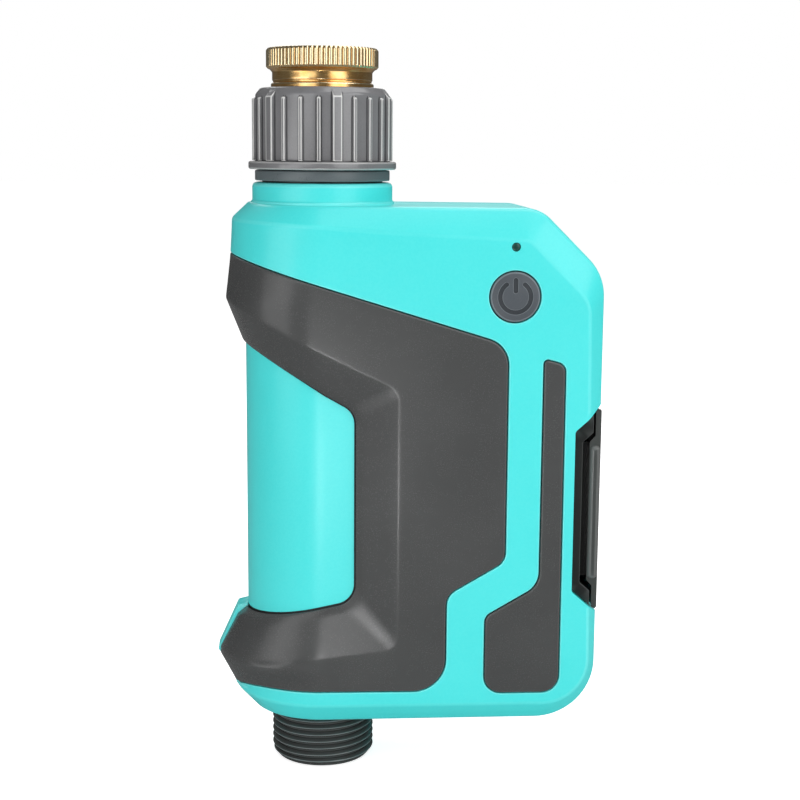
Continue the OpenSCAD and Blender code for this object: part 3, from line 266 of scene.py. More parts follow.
metals = {
    # Brass: a cream painted highlight on the flute crowns and brown painted shade in the flute grooves
    "brass": {"high": (252, 214, 150), "low": (240, 184, 106), "ring": 0.25, "stain": 5, "depth": 0.0004,
              "rough": 0.22, "roughVary": 0.05, "shaded": (120, 66, 20), "ridgeHighlight": (255, 244, 208)},
    "steel": {"high": (206, 206, 204), "low": (168, 168, 168), "ring": 0.2, "stain": 3, "depth": 0.01, "rough": 0.3},
    "ballChrome": {"high": (226, 228, 230), "low": (200, 202, 206), "ring": 0.3, "stain": 4, "depth": 0.004,
                   "rough": 0.1, "roughVary": 0.08},
}
finishes = {name: plastic(name, look) for name, look in plastics.items()}
finishes.update({name: metal(name, look) for name, look in metals.items()})
finishes.update({name: material(name, build) for name, build in (("boardGreen", board), ("cellWrap", cellWrap))})
print("materials made:", len(finishes))

# Which finish each node of the CAD model takes
wears = {
    "brass": ["brass_adapter", "motor_pinion", "contact_block"],
    "sealRubber": ["adapter_washer", "stem_seal", "spigot_seal", "button_gasket", "case_gasket", "drawer_seal"],
    "steel": ["inlet_filter", "valve_stem", "flange_screws", "compound_axle", "motor_shaft", "valve_motor",
              "radio_module", "board_screws", "case_screws", "tray_contacts"],
    "nutGrey": ["swivel_nut"],
    "ringGrey": ["glide_ring"],
    "valveGrey": ["inlet_spigot", "valve_housing"],
    "threadBlack": ["outlet_spout"],
    "caseTurquoise": ["neck_collar", "front_shell", "rear_shell"],
    "ballChrome": ["valve_ball"],
    "seatWhite": ["upper_seat", "lower_seat"],
    "gearIvory": ["output_gear", "compound_gear"],
    "frameGrey": ["gear_frame", "battery_sleeve"],
    "insideBlack": ["button_switch", "battery_tray"],
    "boardGreen": ["main_board"],
    "cellWrap": ["battery_cells"],
    "gripGrey": ["front_grip", "rear_grip", "front_slim_trim", "rear_slim_trim", "power_button"],
    "doorGrey": ["drawer_door"],
    "bezelBlack": ["battery_bezel"],
    "lightClear": ["light_window", "status_light", "switch_plunger"],
}
for finish, members in wears.items():
    for member in members:
        nodes[member].data.materials.clear()
        nodes[member].data.materials.append(finishes[finish])


# Turns the case's own heights into the model's frame, in metres
def placed(points):
    return (np.asarray(points, float) - (0, 0, mouthHeight)) * mm


# Faces of a grid of rows x columns: neighbouring points make quads, and either way may be closed
def gridFaces(rows, columns, closeRows=False, closeColumns=False):
    r = np.arange(rows if closeRows else rows - 1)
    c = np.arange(columns if closeColumns else columns - 1)
    r, c = np.meshgrid(r, c, indexing="ij")
    nextRow, nextColumn = (r + 1) % rows, (c + 1) % columns
    quads = np.stack([r * columns + c, r * columns + nextColumn, nextRow * columns + nextColumn,
                      nextRow * columns + c], -1)
    return quads.reshape(-1, 4)


# A surface as points and faces, from rows of points
def sheet(rows, closeRows=False, closeColumns=False):
    rows = np.asarray(rows, float)
    return rows.reshape(-1, 3), gridFaces(rows.shape[0], rows.shape[1], closeRows, closeColumns)


# A surface whose rows are closed loops
def tube(rows):
    return sheet(rows, closeColumns=True)


# Points of a flat outline in x and z set up at depth y, or those of one in x and y laid at a height with at=2
def raised(flat, y, at=1):
    return np.insert(np.asarray(flat, float), at, y, axis=1)


# Flat points at a radius and angles from the middle
def polar(radius, angles):
    return np.stack([radius * np.cos(angles), radius * np.sin(angles)], -1)


# Angles of a full turn in equal steps, without the last one
def fullTurn(count):
    return np.linspace(0, 2 * math.pi, count + 1)[:-1]


# Flat points cut into portions that fit in memory
def portions(points, size=2000):
    return np.array_split(points, len(points) // size + 1)


# Whether each flat point lies inside the loops, by counting the edges that a ray crosses
def inside(points, loops):
    a, b = np.concatenate(loops), np.concatenate([np.roll(loop, -1, 0) for loop in loops])
    tall = np.where(b[:, 1] == a[:, 1], 1e-12, b[:, 1] - a[:, 1])
    odd = []
    for part in portions(points):
        x, y = part[:, :1], part[:, 1:]
        spans = (a[:, 1] > y) != (b[:, 1] > y)
        cross = x < (b[:, 0] - a[:, 0]) * (y - a[:, 1]) / tall + a[:, 0]
        odd.append(np.sum(spans & cross, 1) % 2 == 1)
    return np.concatenate(odd)


# Whether each flat point is further than the gap from every point of the loops
def clearOf(points, loops, gap):
    rim = np.concatenate(loops)
    near = [np.min(np.hypot(part[:, :1] - rim[:, 0], part[:, 1:] - rim[:, 1]), 1) for part in portions(points)]
    return np.concatenate(near) > gap


# Fills the flat region between loops with triangles, with a lattice of inner points where x is in the given band,
# and lifts the result into space
def patch(loops, lift, band=None, pitch=None):
    flat, edges, start = np.concatenate(loops), [], 0
    for loop in loops:
        index = np.arange(len(loop))
        edges.append(np.stack([start + index, start + np.roll(index, -1)], -1))
        start += len(loop)
    edges = np.concatenate(edges)
    if band:
        u = np.arange(band[0], band[1], pitch[0])
        z = np.arange(flat[:, 1].min(), flat[:, 1].max(), pitch[1])
        lattice = np.stack(np.meshgrid(u, z), -1).reshape(-1, 2)
        lattice = lattice[inside(lattice, loops)]
        flat = np.concatenate([flat, lattice[clearOf(lattice, loops, 0.45 * min(pitch))]])
    spots, _, triangles, _, _, _ = delaunay_2d_cdt(flat.tolist(), edges.tolist(), [], 0, 1e-7)
    spots, triangles = np.array(spots, float), np.array(triangles)
    return lift(spots), triangles[inside(spots[triangles].mean(1), loops)]


# Chain through corners (u, z, radius): each corner becomes an arc of turns steps, each run is cut into its own count
def chain(corners, runs, turns, closed=False):
    c = np.array(corners, float)
    count = len(c)
    arcs = []
    for i in range(count):
        if not closed and i in (0, count - 1):
            arcs.append(c[i:i + 1, :2])
            continue
        at = c[i, :2]
        back, ahead = c[i - 1, :2] - at, c[(i + 1) % count, :2] - at
        back, ahead = back / np.linalg.norm(back), ahead / np.linalg.norm(ahead)
        half = math.acos(np.clip(back @ ahead, -1, 1)) / 2
        middle = at + (back + ahead) / np.linalg.norm(back + ahead) * c[i, 2] / math.sin(half)
        first = at + back * c[i, 2] / math.tan(half) - middle
        last = at + ahead * c[i, 2] / math.tan(half) - middle
        begin = math.atan2(first[1], first[0])
        sweep = (math.atan2(last[1], last[0]) - begin + math.pi) % (2 * math.pi) - math.pi
        arcs.append(middle + polar(c[i, 2], begin + sweep * np.linspace(0, 1, turns[i if closed else i - 1] + 1)))
    out = []
    for i in range(count if closed else count - 1):
        a, b = arcs[i], arcs[(i + 1) % count]
        share = np.linspace(0, 1, runs[i] + 1)[1:-1, None]
        out += [a, a[-1] + share * (b[0] - a[-1])]
    if not closed:
        out.append(arcs[-1])
    return np.concatenate(out)


# Chain that a form gives by its edge, runs and turns
def outlineOf(form, closed=True):
    return chain(form["edge"], form["runs"], form["turns"], closed)


# Unit normals of a flat chain, to the left of the way it runs
def normals(line, closed=False):
    step = np.roll(line, -1, 0) - np.roll(line, 1, 0) if closed else np.gradient(line, axis=0)
    left = np.stack([-step[:, 1], step[:, 0]], -1)
    return left / np.linalg.norm(left, axis=1, keepdims=True)


# Profile through matched rows of points: at each inner row the corner is rounded from cut before it to cut after it
def softProfile(stops, cuts, steps=5, between=()):
    rows = [stops[0]]
    for i, cut in enumerate(cuts):
        before, at, after = stops[i], stops[i + 1], stops[i + 2]
        back, ahead = before - at, after - at
        backLength = np.maximum(np.linalg.norm(back, axis=-1, keepdims=True), 1e-9)
        aheadLength = np.maximum(np.linalg.norm(ahead, axis=-1, keepdims=True), 1e-9)
        reach = np.minimum(cut, 0.45 * np.minimum(backLength, aheadLength))
        a, b = at + back / backLength * reach, at + ahead / aheadLength * reach
        for share in (between[i] if i < len(between) else ()):
            rows.append(rows[-1] * (1 - share) + a * share)
        for t in np.linspace(0, 1, steps):
            rows.append((1 - t) ** 2 * a + 2 * t * (1 - t) * at + t * t * b)
    rows.append(stops[-1])
    return np.array(rows)


# How sharply a mesh bends at each point, per millimetre: over each edge, the angle between its two faces divided by
# the distance of their middles, of at least the shortest; ridges count up, valleys down, and a point sums its
# strongest ridge and its strongest valley
def bends(mesh, shortest=0.3):
    count = len(mesh.polygons)
    middles, out, turns = np.empty(count * 3), np.empty(count * 3), np.empty(count, int)
    mesh.polygons.foreach_get("center", middles)
    mesh.polygons.foreach_get("normal", out)
    mesh.polygons.foreach_get("loop_total", turns)
    middles, out = middles.reshape(-1, 3) / mm, out.reshape(-1, 3)
    edges, ends = np.empty(len(mesh.loops), int), np.empty(len(mesh.edges) * 2, int)
    mesh.loops.foreach_get("edge_index", edges)
    mesh.edges.foreach_get("vertices", ends)
    order = np.argsort(edges, kind="stable")
    edges, faces = edges[order], np.repeat(np.arange(count), turns)[order]
    pair = np.flatnonzero(edges[1:] == edges[:-1])
    a, b, ends = faces[pair], faces[pair + 1], ends.reshape(-1, 2)[edges[pair]]
    apart = middles[b] - middles[a]
    angle = np.arccos(np.clip(np.sum(out[a] * out[b], 1), -1, 1))
    bend = -np.sign(np.sum(apart * out[a], 1)) * angle / np.maximum(np.linalg.norm(apart, axis=1), shortest)
    high, low = np.zeros(len(mesh.vertices)), np.zeros(len(mesh.vertices))
    for end in (0, 1):
        np.maximum.at(high, ends[:, end], bend)
        np.minimum.at(low, ends[:, end], bend)
    made = mesh.attributes.new("bend", "FLOAT", "POINT")
    made.data.foreach_set("value", (high + low).astype(np.float32))


# Fills each loop of open edges with triangles
def fillHoles(work):
    rim = [e for e in work.edges if len(e.link_faces) == 1]
    filled = bmesh.ops.holes_fill(work, edges=rim, sides=0)["faces"]
    bmesh.ops.triangulate(work, faces=filled)


# Closes a mesh: holes are filled, a face with one edge on nothing and one on too many goes, and the points of odd
# edges that are nearer than the reach, in millimetres, become one
def closeUp(work, reach=0.03):
    fillHoles(work)
    stray = [f for f in work.faces if min(len(e.link_faces) for e in f.edges) == 1
             and max(len(e.link_faces) for e in f.edges) > 2]
    bmesh.ops.delete(work, geom=stray, context="FACES")
    odd = [v for v in work.verts if any(len(e.link_faces) != 2 for e in v.link_edges)]
    bmesh.ops.remove_doubles(work, verts=odd, dist=reach * mm)
    fillHoles(work)


# Merges points nearer than weld, in millimetres, and drops the edges and faces that this leaves without size
def mergePoints(work, weld, thinnest=0.0005):
    bmesh.ops.remove_doubles(work, verts=work.verts, dist=weld * mm)
    bmesh.ops.dissolve_degenerate(work, edges=work.edges, dist=thinnest * mm)


# Runs the steps on a mesh and tells how many of its edges don't lie between two faces
def mend(mesh, *steps):
    work = bmesh.new()
    work.from_mesh(mesh)
    for step in steps:
        step(work)
    odd = len([e for e in work.edges if len(e.link_faces) != 2])
    work.to_mesh(mesh)
    work.free()
    return odd


# Smooth shading, with edges sharper than the angle kept crisp
def shadeSmooth(mesh, sharp):
    mesh.polygons.foreach_set("use_smooth", np.ones(len(mesh.polygons), bool))
    mesh.set_sharp_from_angle(angle=math.radians(sharp))


# New object in the scene
def added(name, data):
    made = bpy.data.objects.new(name, data)
    bpy.context.scene.collection.objects.link(made)
    return made


# Builds an object from surfaces: near points are merged, open loops closed and faces turned outwards
def piece(name, surfaces, finish, body, node=None, weld=0.004, sharp=40):
    faces, start = [], 0
    for spots, corners in surfaces:
        faces += (corners + start).tolist()
        start += len(spots)
    mesh = bpy.data.meshes.new(name)
    mesh.from_pydata(placed(np.concatenate([spots for spots, _ in surfaces])).tolist(), [], faces)
    loose = mend(mesh, lambda work: mergePoints(work, weld), closeUp,
                 lambda work: bmesh.ops.recalc_face_normals(work, faces=work.faces))
    shadeSmooth(mesh, sharp)
    made = added(name, mesh)
    mesh.materials.append(finishes[finish])
    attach(made, body)
    if node:
        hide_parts(node)
    bends(mesh)
    print(name, "faces", len(mesh.polygons), "open edges", loose)
    return made


sides = (("Front", 1), ("Rear", -1))


# The front's surfaces as they are, or mirrored for the rear where the sign is -1
def mirrored(surfaces, sign):
    return [(spots * (1, sign, 1), corners) for spots, corners in surfaces]


caseDepth = 22.5  # from the middle plane to the front, and the radius of the round left end
seamU = -caseDepth * math.pi / 2  # u at the seam on the far left
caseForm = {
    "outline": [(seamU, 129.4, 0), (52.4, 128.75, 9), (68.5, 112.7, 13), (68.5, 0, 15), (seamU, 0, 0)],
    "inner": [(seamU, 125.5, 0), (49.6, 121.2, 4.5), (64.4, 106.3, 8), (66.35, 5.1, 11.5), (seamU, 5.2, 0)],
    "runs": [84, 8, 40, 76], "turns": [12, 14, 18], "hump": {"high": 0.5, "at": -10, "wide": 16, "above": 100},
    "bevel": 4.0, "footBevel": 0.7, "footTop": 20, "edgeCut": 1.1, "bevelCut": 1.3, "seamCut": 0.12, "beside": 1.7,
    "seamDeep": 0.22, "seamHalf": 0.2, "columnRadius": 19.4, "lip": 0.26, "gap": 0.27,
    "swell": ([60, 95, 105.9, 114.2, 121, 126], [1.8, 1.8, 1.8, 0.75, 0.3, 0.1]),
    "lug": ([-5, 0, 2.6, 5, 13.7, 15.3, 16.2], [10, 12.7, 16.0, 17.3, 21.85, 21.85, 21.1]), "lugAside": 5,
    "lugTop": 30, "lugBlend": 0.25, "lugDrop": 0.04, "swellFoot": 60,
}
# Inner points of the faces round the column: how far inside the seam they begin, the u where they end, and their
# pitch in u and z
latticeForm = {"from": 1.2, "to": 1.0, "face": (1.5, 1.6), "pocket": (1.5, 4.0), "back": (1.5, 3.0)}


# Turn angle from the front towards the far left
def turnOf(u):
    return np.maximum(-u, 0) / caseDepth


# Point of the case: right of the column u is x, left of it u runs round the column; depth is from the middle plane
# or the axis
def wrap(flat, depth):
    u, z = flat[..., 0], flat[..., 1]
    a = turnOf(u)
    return np.stack([np.where(u < 0, -depth * np.sin(a), u), -depth * np.cos(a), z], -1)


# Reach of the lug at the foot, a cone about its own axis to the left of the column
def lugReach(a, z):
    own, aside = np.interp(z, *caseForm["lug"]), caseForm["lugAside"]
    return aside * np.sin(a) + np.sqrt(own ** 2 - aside ** 2 * np.cos(a) ** 2)


# Reach of the case and its grips at a point of the chart: the case's depth with the swell of the upper ridge, never
# past the flat front, and at the foot a soft blend into the lug
def outerReach(flat):
    u, z = flat[..., 0], flat[..., 1]
    a = turnOf(u)
    front = caseDepth / np.maximum(np.cos(a), 0.1)
    swell = np.interp(z, *caseForm["swell"]) * np.sin(a)
    upper = np.minimum(caseDepth + np.where(z > caseForm["swellFoot"], swell, 0), front)
    lug = np.where(z < caseForm["lugTop"], lugReach(a, z), 0)
    soft = 0.5 * (upper + lug + np.sqrt((upper - lug) ** 2 + caseForm["lugBlend"])) - caseForm["lugDrop"]
    soft = np.minimum(np.maximum(soft, upper), front)
    return np.where((u < 0) & (z < caseForm["lugTop"]), soft, upper)


# Face over a part of the chart at a reach, which is one number or worked out from each point
def facing(loops, reach, *inner):
    return patch(loops, lambda s: wrap(s, reach(s) if callable(reach) else reach), *inner)


# Such a face that runs round the column from its end at the seam, with the lattice of its kind
def facingRound(loops, reach, endU, kind):
    return facing(loops, reach, (endU + latticeForm["from"], latticeForm["to"]), latticeForm[kind])


gripForm = {
    "lines": [
        {"edge": [(0, 109.6, 0), (44.55, 95.85, 6.6), (44.6, 42.04, 4), (30.08, 33.55, 4.7), (30.05, 8.85, 8),
                  (0, 9.05, 0)], "runs": [40, 30, 12, 16, 24], "turns": [12, 8, 8, 14], "above": (-0.309, 0.6),
         "below": ([0, 22, 33, 45.5, 61, 75, 90], [9.05, 9.0, 8.9, 8.6, 7.8, 6.6, 5.1])},
        {"edge": [(0, 93.8, 0), (18.1, 85.02, 4.2), (18.1, 19.85, 3.2), (0, 17.85, 0)], "runs": [16, 44, 16],
         "turns": [12, 12], "above": (-0.485, 1.8), "below": (0.11, 4.6)},
        {"edge": [(0, 83.75, 0), (7.8, 79.3, 5.2), (7.8, 31.4, 5.4), (0, 29.8, 0)], "runs": [16, 44, 16],
         "turns": [12, 12], "above": (-0.57, -2.5), "below": (0.2, -2.5)},
    ],
    "ends": 34, "rimDepth": 20.2, "ledge": (2.1, 2.1), "ledgeTop": 60, "groove": (0.5, 0.6), "proud": 0.2,
    "proudRun": 9, "lip": 0.36, "creaseFace": 1.3, "creaseCut": 0.42, "rimCut": 0.25, "seamGap": 0.09, "clear": 0.07,
    # Rows of the painted shadow strip along the recess rim: offset from the rim line and height over the column
    "edgeFloor": 0.1, "shadowStripRows": ((-0.42, -0.2), (-0.42, 0.1), (0.42, 0.12), (0.42, -0.2)),
    "facetRows": (0.2, 0.25, 0.33, 0.5),
}


# Height round the left end by the turn angle: between lists of degrees and heights, or on a slanted cut
# z = level + slope * x, where x is followed at the swell beyond the case's depth
def endHeight(a, level, cut):
    if isinstance(cut[0], list):
        return np.interp(a, np.radians(cut[0]), cut[1])
    slope, swell = cut
    return level - slope * (caseDepth + swell * np.sin(a)) * np.sin(a)


# Grip outline, crease and recess rim on the chart, each from the seam above to the seam below
def gripLines(endU):
    a = np.linspace(endU / seamU * math.pi / 2, 0, gripForm["ends"] + 1)[:-1]
    lines = []
    for line in gripForm["lines"]:
        above, below = (np.stack([-caseDepth * a, endHeight(a, line["edge"][end][1], line[cut])], -1)
                        for end, cut in ((0, "above"), (-1, "below")))
        lines.append(np.concatenate([above, outlineOf(line, closed=False), below[::-1]]))
    return lines


# Line moved sideways on the chart, whose two ends stay at the seam
def moved(line, out, gap, endU=None):
    shifted = line + out * gap
    if endU is not None:
        shifted[[0, -1], 0] = endU
        shifted[:, 0] = np.maximum(shifted[:, 0], endU)
    return shifted


# Rows that turn a face over an edge: from beside the line, over a quarter round, down to the floor
def lipRows(line, out, floor, lip, endU=None, support=0.3, steps=4, reach=outerReach):
    beside = moved(line, out, lip + support, endU)
    rows = [wrap(beside, reach(beside))]
    for t in np.linspace(0, math.pi / 2, steps + 1):
        at = moved(line, out, lip * (1 - math.sin(t)), endU)
        rows.append(wrap(at, reach(at) - lip * (1 - math.cos(t))))
    rows.append(wrap(at, floor(at) if callable(floor) else floor))
    return np.array(rows), beside, at


slimForm = {"edge": [(53.45, 92.5, 0.9), (58.55, 91.1, 2.3), (58.65, 8.2, 4.2), (40.0, 8.2, 4.2), (40.0, 27.9, 2.6),
                     (53.4, 35.7, 6.0)], "runs": [3, 30, 8, 8, 8, 20], "turns": [6, 8, 8, 8, 6, 8], "depth": 1.5,
            "pocket": 1.7, "lip": 0.32, "proud": 0.2}
slimLine = outlineOf(slimForm)
slimOut = normals(slimLine, closed=True)
buttonForm = {"x": 46.0, "z": 107.7, "hole": 6.38, "bore": 12.0, "radius": 6.08, "dome": 80.0, "front": 22.97,
              "lip": 0.4, "back": [(7.35, 19.56), (7.35, 18.87), (2.0, 18.87), (2.0, 18.62)],
              "signOut": 4.25, "signIn": 3.2, "signGap": 36, "barHalf": 0.55, "barLow": 0.9, "barHigh": 4.6,
              "corner": 0.98, "engraved": 0.3, "signLip": 0.1, "support": (0.1, 0.08), "pitch": 0.7, "latticeHalf": 6,
              "around": 96, "ringSteps": 61, "capSteps": 9}
lightForm = {"x": 46.0, "z": 119.7, "hole": 1.1, "holeFrom": 18.0, "holeAround": 32, "around": 40,
             "rows": [(1.04, 16.15), (1.04, 18.95), (1.6, 18.95), (1.6, 19.8), (1.04, 19.8), (1.04, 22.2), (0.98, 22.3),
                      (0.8, 22.38), (0.5, 22.42), (0.2, 22.44)]}


# Circle on the chart about a form's middle, clockwise as seen from the front
def circle(form, radius, count=64):
    return (form["x"], form["z"]) + polar(radius, -fullTurn(count))


# Front half of the case, or the rear half before it is mirrored: bevelled rim, face, grip pocket, slots and bores
def caseHalf(front):
    f = caseForm
    outline, inner = (chain(f[key], f["runs"], f["turns"]) for key in ("outline", "inner"))
    hump = f["hump"]
    inner[:, 1] += (hump["high"] * np.exp(-((inner[:, 0] - hump["at"]) / hump["wide"]) ** 2)
                    * (inner[:, 1] > hump["above"]))
    out, innerOut = normals(outline), normals(inner)
    low = np.sin(turnOf(outline[:, 0])) ** 2 * (outline[:, 1] < f["footTop"])
    bevelled = wrap(outline, caseDepth - f["bevel"] - f["footBevel"] * low)
    middle = bevelled * (1, 0, 1)
    sunk = middle - raised(out, 0) * f["seamDeep"]
    seam = middle + np.stack([0 * low, np.maximum(-f["seamHalf"], bevelled[:, 1]), 0 * low], -1)
    faceLine = moved(inner, innerOut, -f["beside"], seamU)
    rim = softProfile([sunk, seam, bevelled, wrap(inner, outerReach(inner)), wrap(faceLine, outerReach(faceLine))],
                      [f["seamCut"], f["edgeCut"], f["bevelCut"]], steps=6)
    edge = gripLines(seamU)[0]
    edgeOut = normals(edge)
    pocketLine = moved(edge, edgeOut, f["gap"], seamU)
    pocket, pocketFace, pocketFloor = lipRows(pocketLine, edgeOut, f["columnRadius"], f["lip"], seamU)
    surfaces, loops = [sheet(rim), sheet(pocket)], [np.concatenate([faceLine, pocketFace[::-1]])]
    holes = [(slimLine + slimOut * f["gap"], slimOut, caseDepth - slimForm["pocket"])]
    if front:
        ring = circle(buttonForm, buttonForm["hole"])
        holes.append((ring, normals(ring, closed=True), buttonForm["bore"]))
    for line, away, floor in holes:
        rows, beside, _ = lipRows(line, away, floor, f["lip"])
        surfaces.append(tube(rows))
        loops.append(beside)
    return surfaces + [facingRound(loops, outerReach, seamU, "face"),
                       facingRound([pocketFloor], f["columnRadius"], seamU, "pocket")]


# Straight prism through the case, from a flat outline in x and z
def prism(line, y0, y1):
    return [tube([raised(line, y) for y in (y0, y1)])]


# Takes a closed form out of a piece
def cutFrom(target, name, surfaces):
    tool = piece(name, surfaces, "insideBlack", "timer")
    made = target.modifiers.new("cut", "BOOLEAN")
    made.operation, made.solver, made.object = "DIFFERENCE", "EXACT", tool
    cut = bpy.data.meshes.new_from_object(target.evaluated_get(bpy.context.evaluated_depsgraph_get()))
    target.modifiers.clear()
    target.data = cut
    shadeSmooth(cut, 30)
    bpy.data.objects.remove(tool)


notchForm = {"edge": [(80, 91.2, 0.5), (61.45, 74.6, 1.2), (61.5, 34.0, 1.2), (80, 17.8, 0.5)], "runs": [2, 2, 2, 2],
             "turns": [1, 5, 5, 1], "drawer": [(9.5, 36.45), (9.5, 70.95), (80, 70.95), (80, 36.45)],
             "drawerHalf": 17.25}
hollowForm = {
    "half": 17.2, "upperHalf": 19.85, "runs": [1] * 8, "turns": [4] * 7,
    "edge": [(0, 126.8, 0), (50.5, 126.8, 6), (65.9, 111.4, 8), (65.9, 84, 1), (59.2, 77.4, 1), (59.2, 31.4, 1),
             (65.9, 25, 1), (65.9, 2.3, 12.5), (0, 2.3, 0)],
    "upper": [(37.5, 122.2), (48.4, 122.2), (63.4, 107.2), (63.4, 99.6), (37.5, 99.6)],
    "screws": [(22, 121.8), (62.3, 89.5), (62.3, 24)], "screwHole": 2.9, "screwSeat": 11.85,
    "screwAround": 40, "arcPoints": 33,
}


# Flat faces over outlines at their depths
def flatEnds(outlines):
    return [patch([flat], lambda s, y=y: raised(s, y)) for flat, y in outlines]


# Hollow of the case: flat-sided right of the column, round left of it
def hollow():
    h = hollowForm
    line = outlineOf(h, closed=False)
    arc = polar(-h["half"], np.linspace(math.pi / 2, -math.pi / 2, h["arcPoints"])) * (1, -1)
    ends = [raised(arc, h["edge"][end][1], at=2) for end in (0, -1)]
    return [sheet([raised(line, y) for y in (h["half"], -h["half"])]), sheet(ends)] + flatEnds(
        [(line, h["half"]), (line, -h["half"])])


through = 30  # depth past the case's faces, where a cut goes right through
for side, sign in sides:
    half = piece("case" + side, mirrored(caseHalf(sign > 0), sign), "caseTurquoise", "timer",
                 side.lower() + "_shell", sharp=30)
    cutFrom(half, "notchTool", prism(outlineOf(notchForm), -through, through))
    cutFrom(half, "drawerTool", prism(notchForm["drawer"], -notchForm["drawerHalf"], notchForm["drawerHalf"]))
    cutFrom(half, "hollowTool", hollow())
    cutFrom(half, "upperTool", prism(hollowForm["upper"], -hollowForm["upperHalf"], hollowForm["upperHalf"]))
    if sign > 0:
        bore = circle(lightForm, lightForm["hole"], lightForm["holeAround"])
        cutFrom(half, "lightTool", prism(bore, -through, -lightForm["holeFrom"]))
    else:
        for x, z in hollowForm["screws"]:
            well = circle({"x": x, "z": z}, hollowForm["screwHole"], hollowForm["screwAround"])
            cutFrom(half, "screwTool", prism(well, hollowForm["screwSeat"], through))
    print("case" + side, "open edges after the cuts", mend(half.data, closeUp))
print("case made")


# One grip: front level with a rounded edge, crease, facets down to the recess rim, a groove under the rim, and a back
# against the column; it stands a little proud of the case
def gripHalf(proud):
    g, column = gripForm, caseForm["columnRadius"]
    reach = lambda flat: outerReach(flat) + proud * np.clip((flat[..., 0] - seamU) / g["proudRun"], 0, 1)
    endU = seamU + g["seamGap"]
    edge, crease, rim = gripLines(endU)
    edgeOut = normals(edge)
    lip, edgeFace, edgeFloor = lipRows(edge, -edgeOut, column + g["edgeFloor"], g["lip"], endU, reach=reach)
    creaseFace = moved(crease, normals(crease), g["creaseFace"], endU)
    ledge = np.sin(turnOf(rim[:, 0])) ** 2 * (rim[:, 1] < g["ledgeTop"])
    brink = rim - np.stack([0 * ledge, g["ledge"][1] * ledge], -1)
    under, back = column + g["groove"][0], column + g["clear"]
    inward = moved(rim, normals(rim), g["groove"][1], endU)
    facets = softProfile([wrap(creaseFace, reach(creaseFace)), wrap(crease, reach(crease)),
                          wrap(brink, g["rimDepth"] + g["ledge"][0] * ledge), wrap(rim, under)],
                         [g["creaseCut"], g["rimCut"]], steps=3, between=((), g["facetRows"]))
    groove = [wrap(rim, under), wrap(inward, under), wrap(inward, back)]
    return [sheet(lip), sheet(facets), sheet(groove),
            facingRound([np.concatenate([edgeFace, creaseFace[::-1]])], reach, endU, "face"),
            facingRound([np.concatenate([edgeFloor, inward[::-1]])], back, endU, "back")]


# Painted shadow of the recess: a dark strip along the rim line where the rim's shadow gap falls, from a little under
# the grip to a little past it
def rimShadowStrip():
    rim = gripLines(seamU)[2]
    rows = [wrap(moved(rim, normals(rim), gap, seamU), caseForm["columnRadius"] + high)
            for gap, high in gripForm["shadowStripRows"]]
    return [sheet(rows, closeRows=True)]


for side, sign in sides:
    node = side.lower() + "_grip"
    piece("grip" + side, mirrored(gripHalf(gripForm["proud"] if sign > 0 else 0.0), sign), "gripGrey", "timer", node,
          weld=0.08)
    # The dark strip is painted shadow along the recess rim, in the seals' rubber finish
    piece("seam" + side, mirrored(rimShadowStrip(), sign), "sealRubber", "timer", node)

# Slim trims in their pockets: the front one stands a little proud
for side, sign in sides:
    reach = lambda flat: outerReach(flat) + (slimForm["proud"] if sign > 0 else 0.0)
    rows, beside, _ = lipRows(slimLine, -slimOut, caseDepth - slimForm["depth"], slimForm["lip"], reach=reach)
    surfaces = [tube(rows), facing([beside], reach)]
    piece("slim" + side, mirrored(surfaces, sign), "gripGrey", "timer", side.lower() + "_slim_trim")
print("grips and trims made")


# Upright prism between two depths whose rims are rounded by the cut, with flat ends
def softPrism(line, y0, y1, cut, steps=4):
    out, rows = normals(line, closed=True), []
    for t in np.linspace(0, math.pi / 2, steps + 1):
        rows.append((line - out * cut * (1 - math.sin(t)), y0 + cut * (1 - math.cos(t))))
    rows += [(flat, y0 + y1 - y) for flat, y in rows[::-1]]
    return [tube([raised(flat, y) for flat, y in rows])] + flatEnds([rows[0], rows[-1]])


# Raised web between the grips at the foot, half in each shell
tongueForm = {"edge": [(-26.3, 13.1, 0.3), (-27.09, 14.1, 0.3), (-27.09, 14.6, 0.3), (-21.98, 25.88, 0.8),
                       (-19.3, 26.5, 0.2), (-19.3, 14.2, 0.2)], "runs": [1, 1, 6, 2, 6, 4],
              "turns": [2, 2, 2, 4, 2, 2], "half": 3.15, "seamHalf": 0.05, "cut": 0.15}
for side, sign in sides:
    web = softPrism(outlineOf(tongueForm), -tongueForm["half"], -tongueForm["seamHalf"], tongueForm["cut"])
    piece("tongue" + side, mirrored(web, sign), "caseTurquoise", "timer", side.lower() + "_shell")


# Surface turned round the column axis from a profile of radius and height, with a swell added to the radius
def turned(profile, angles, closed=True, swell=0.0):
    radius, height = profile[:, :1] + 0 * angles + swell, profile[:, 1:] + 0 * angles
    return sheet(np.concatenate([polar(radius, angles), height[..., None]], -1), closeRows=closed, closeColumns=True)


ringCount = 160  # points round the collar and the glide ring

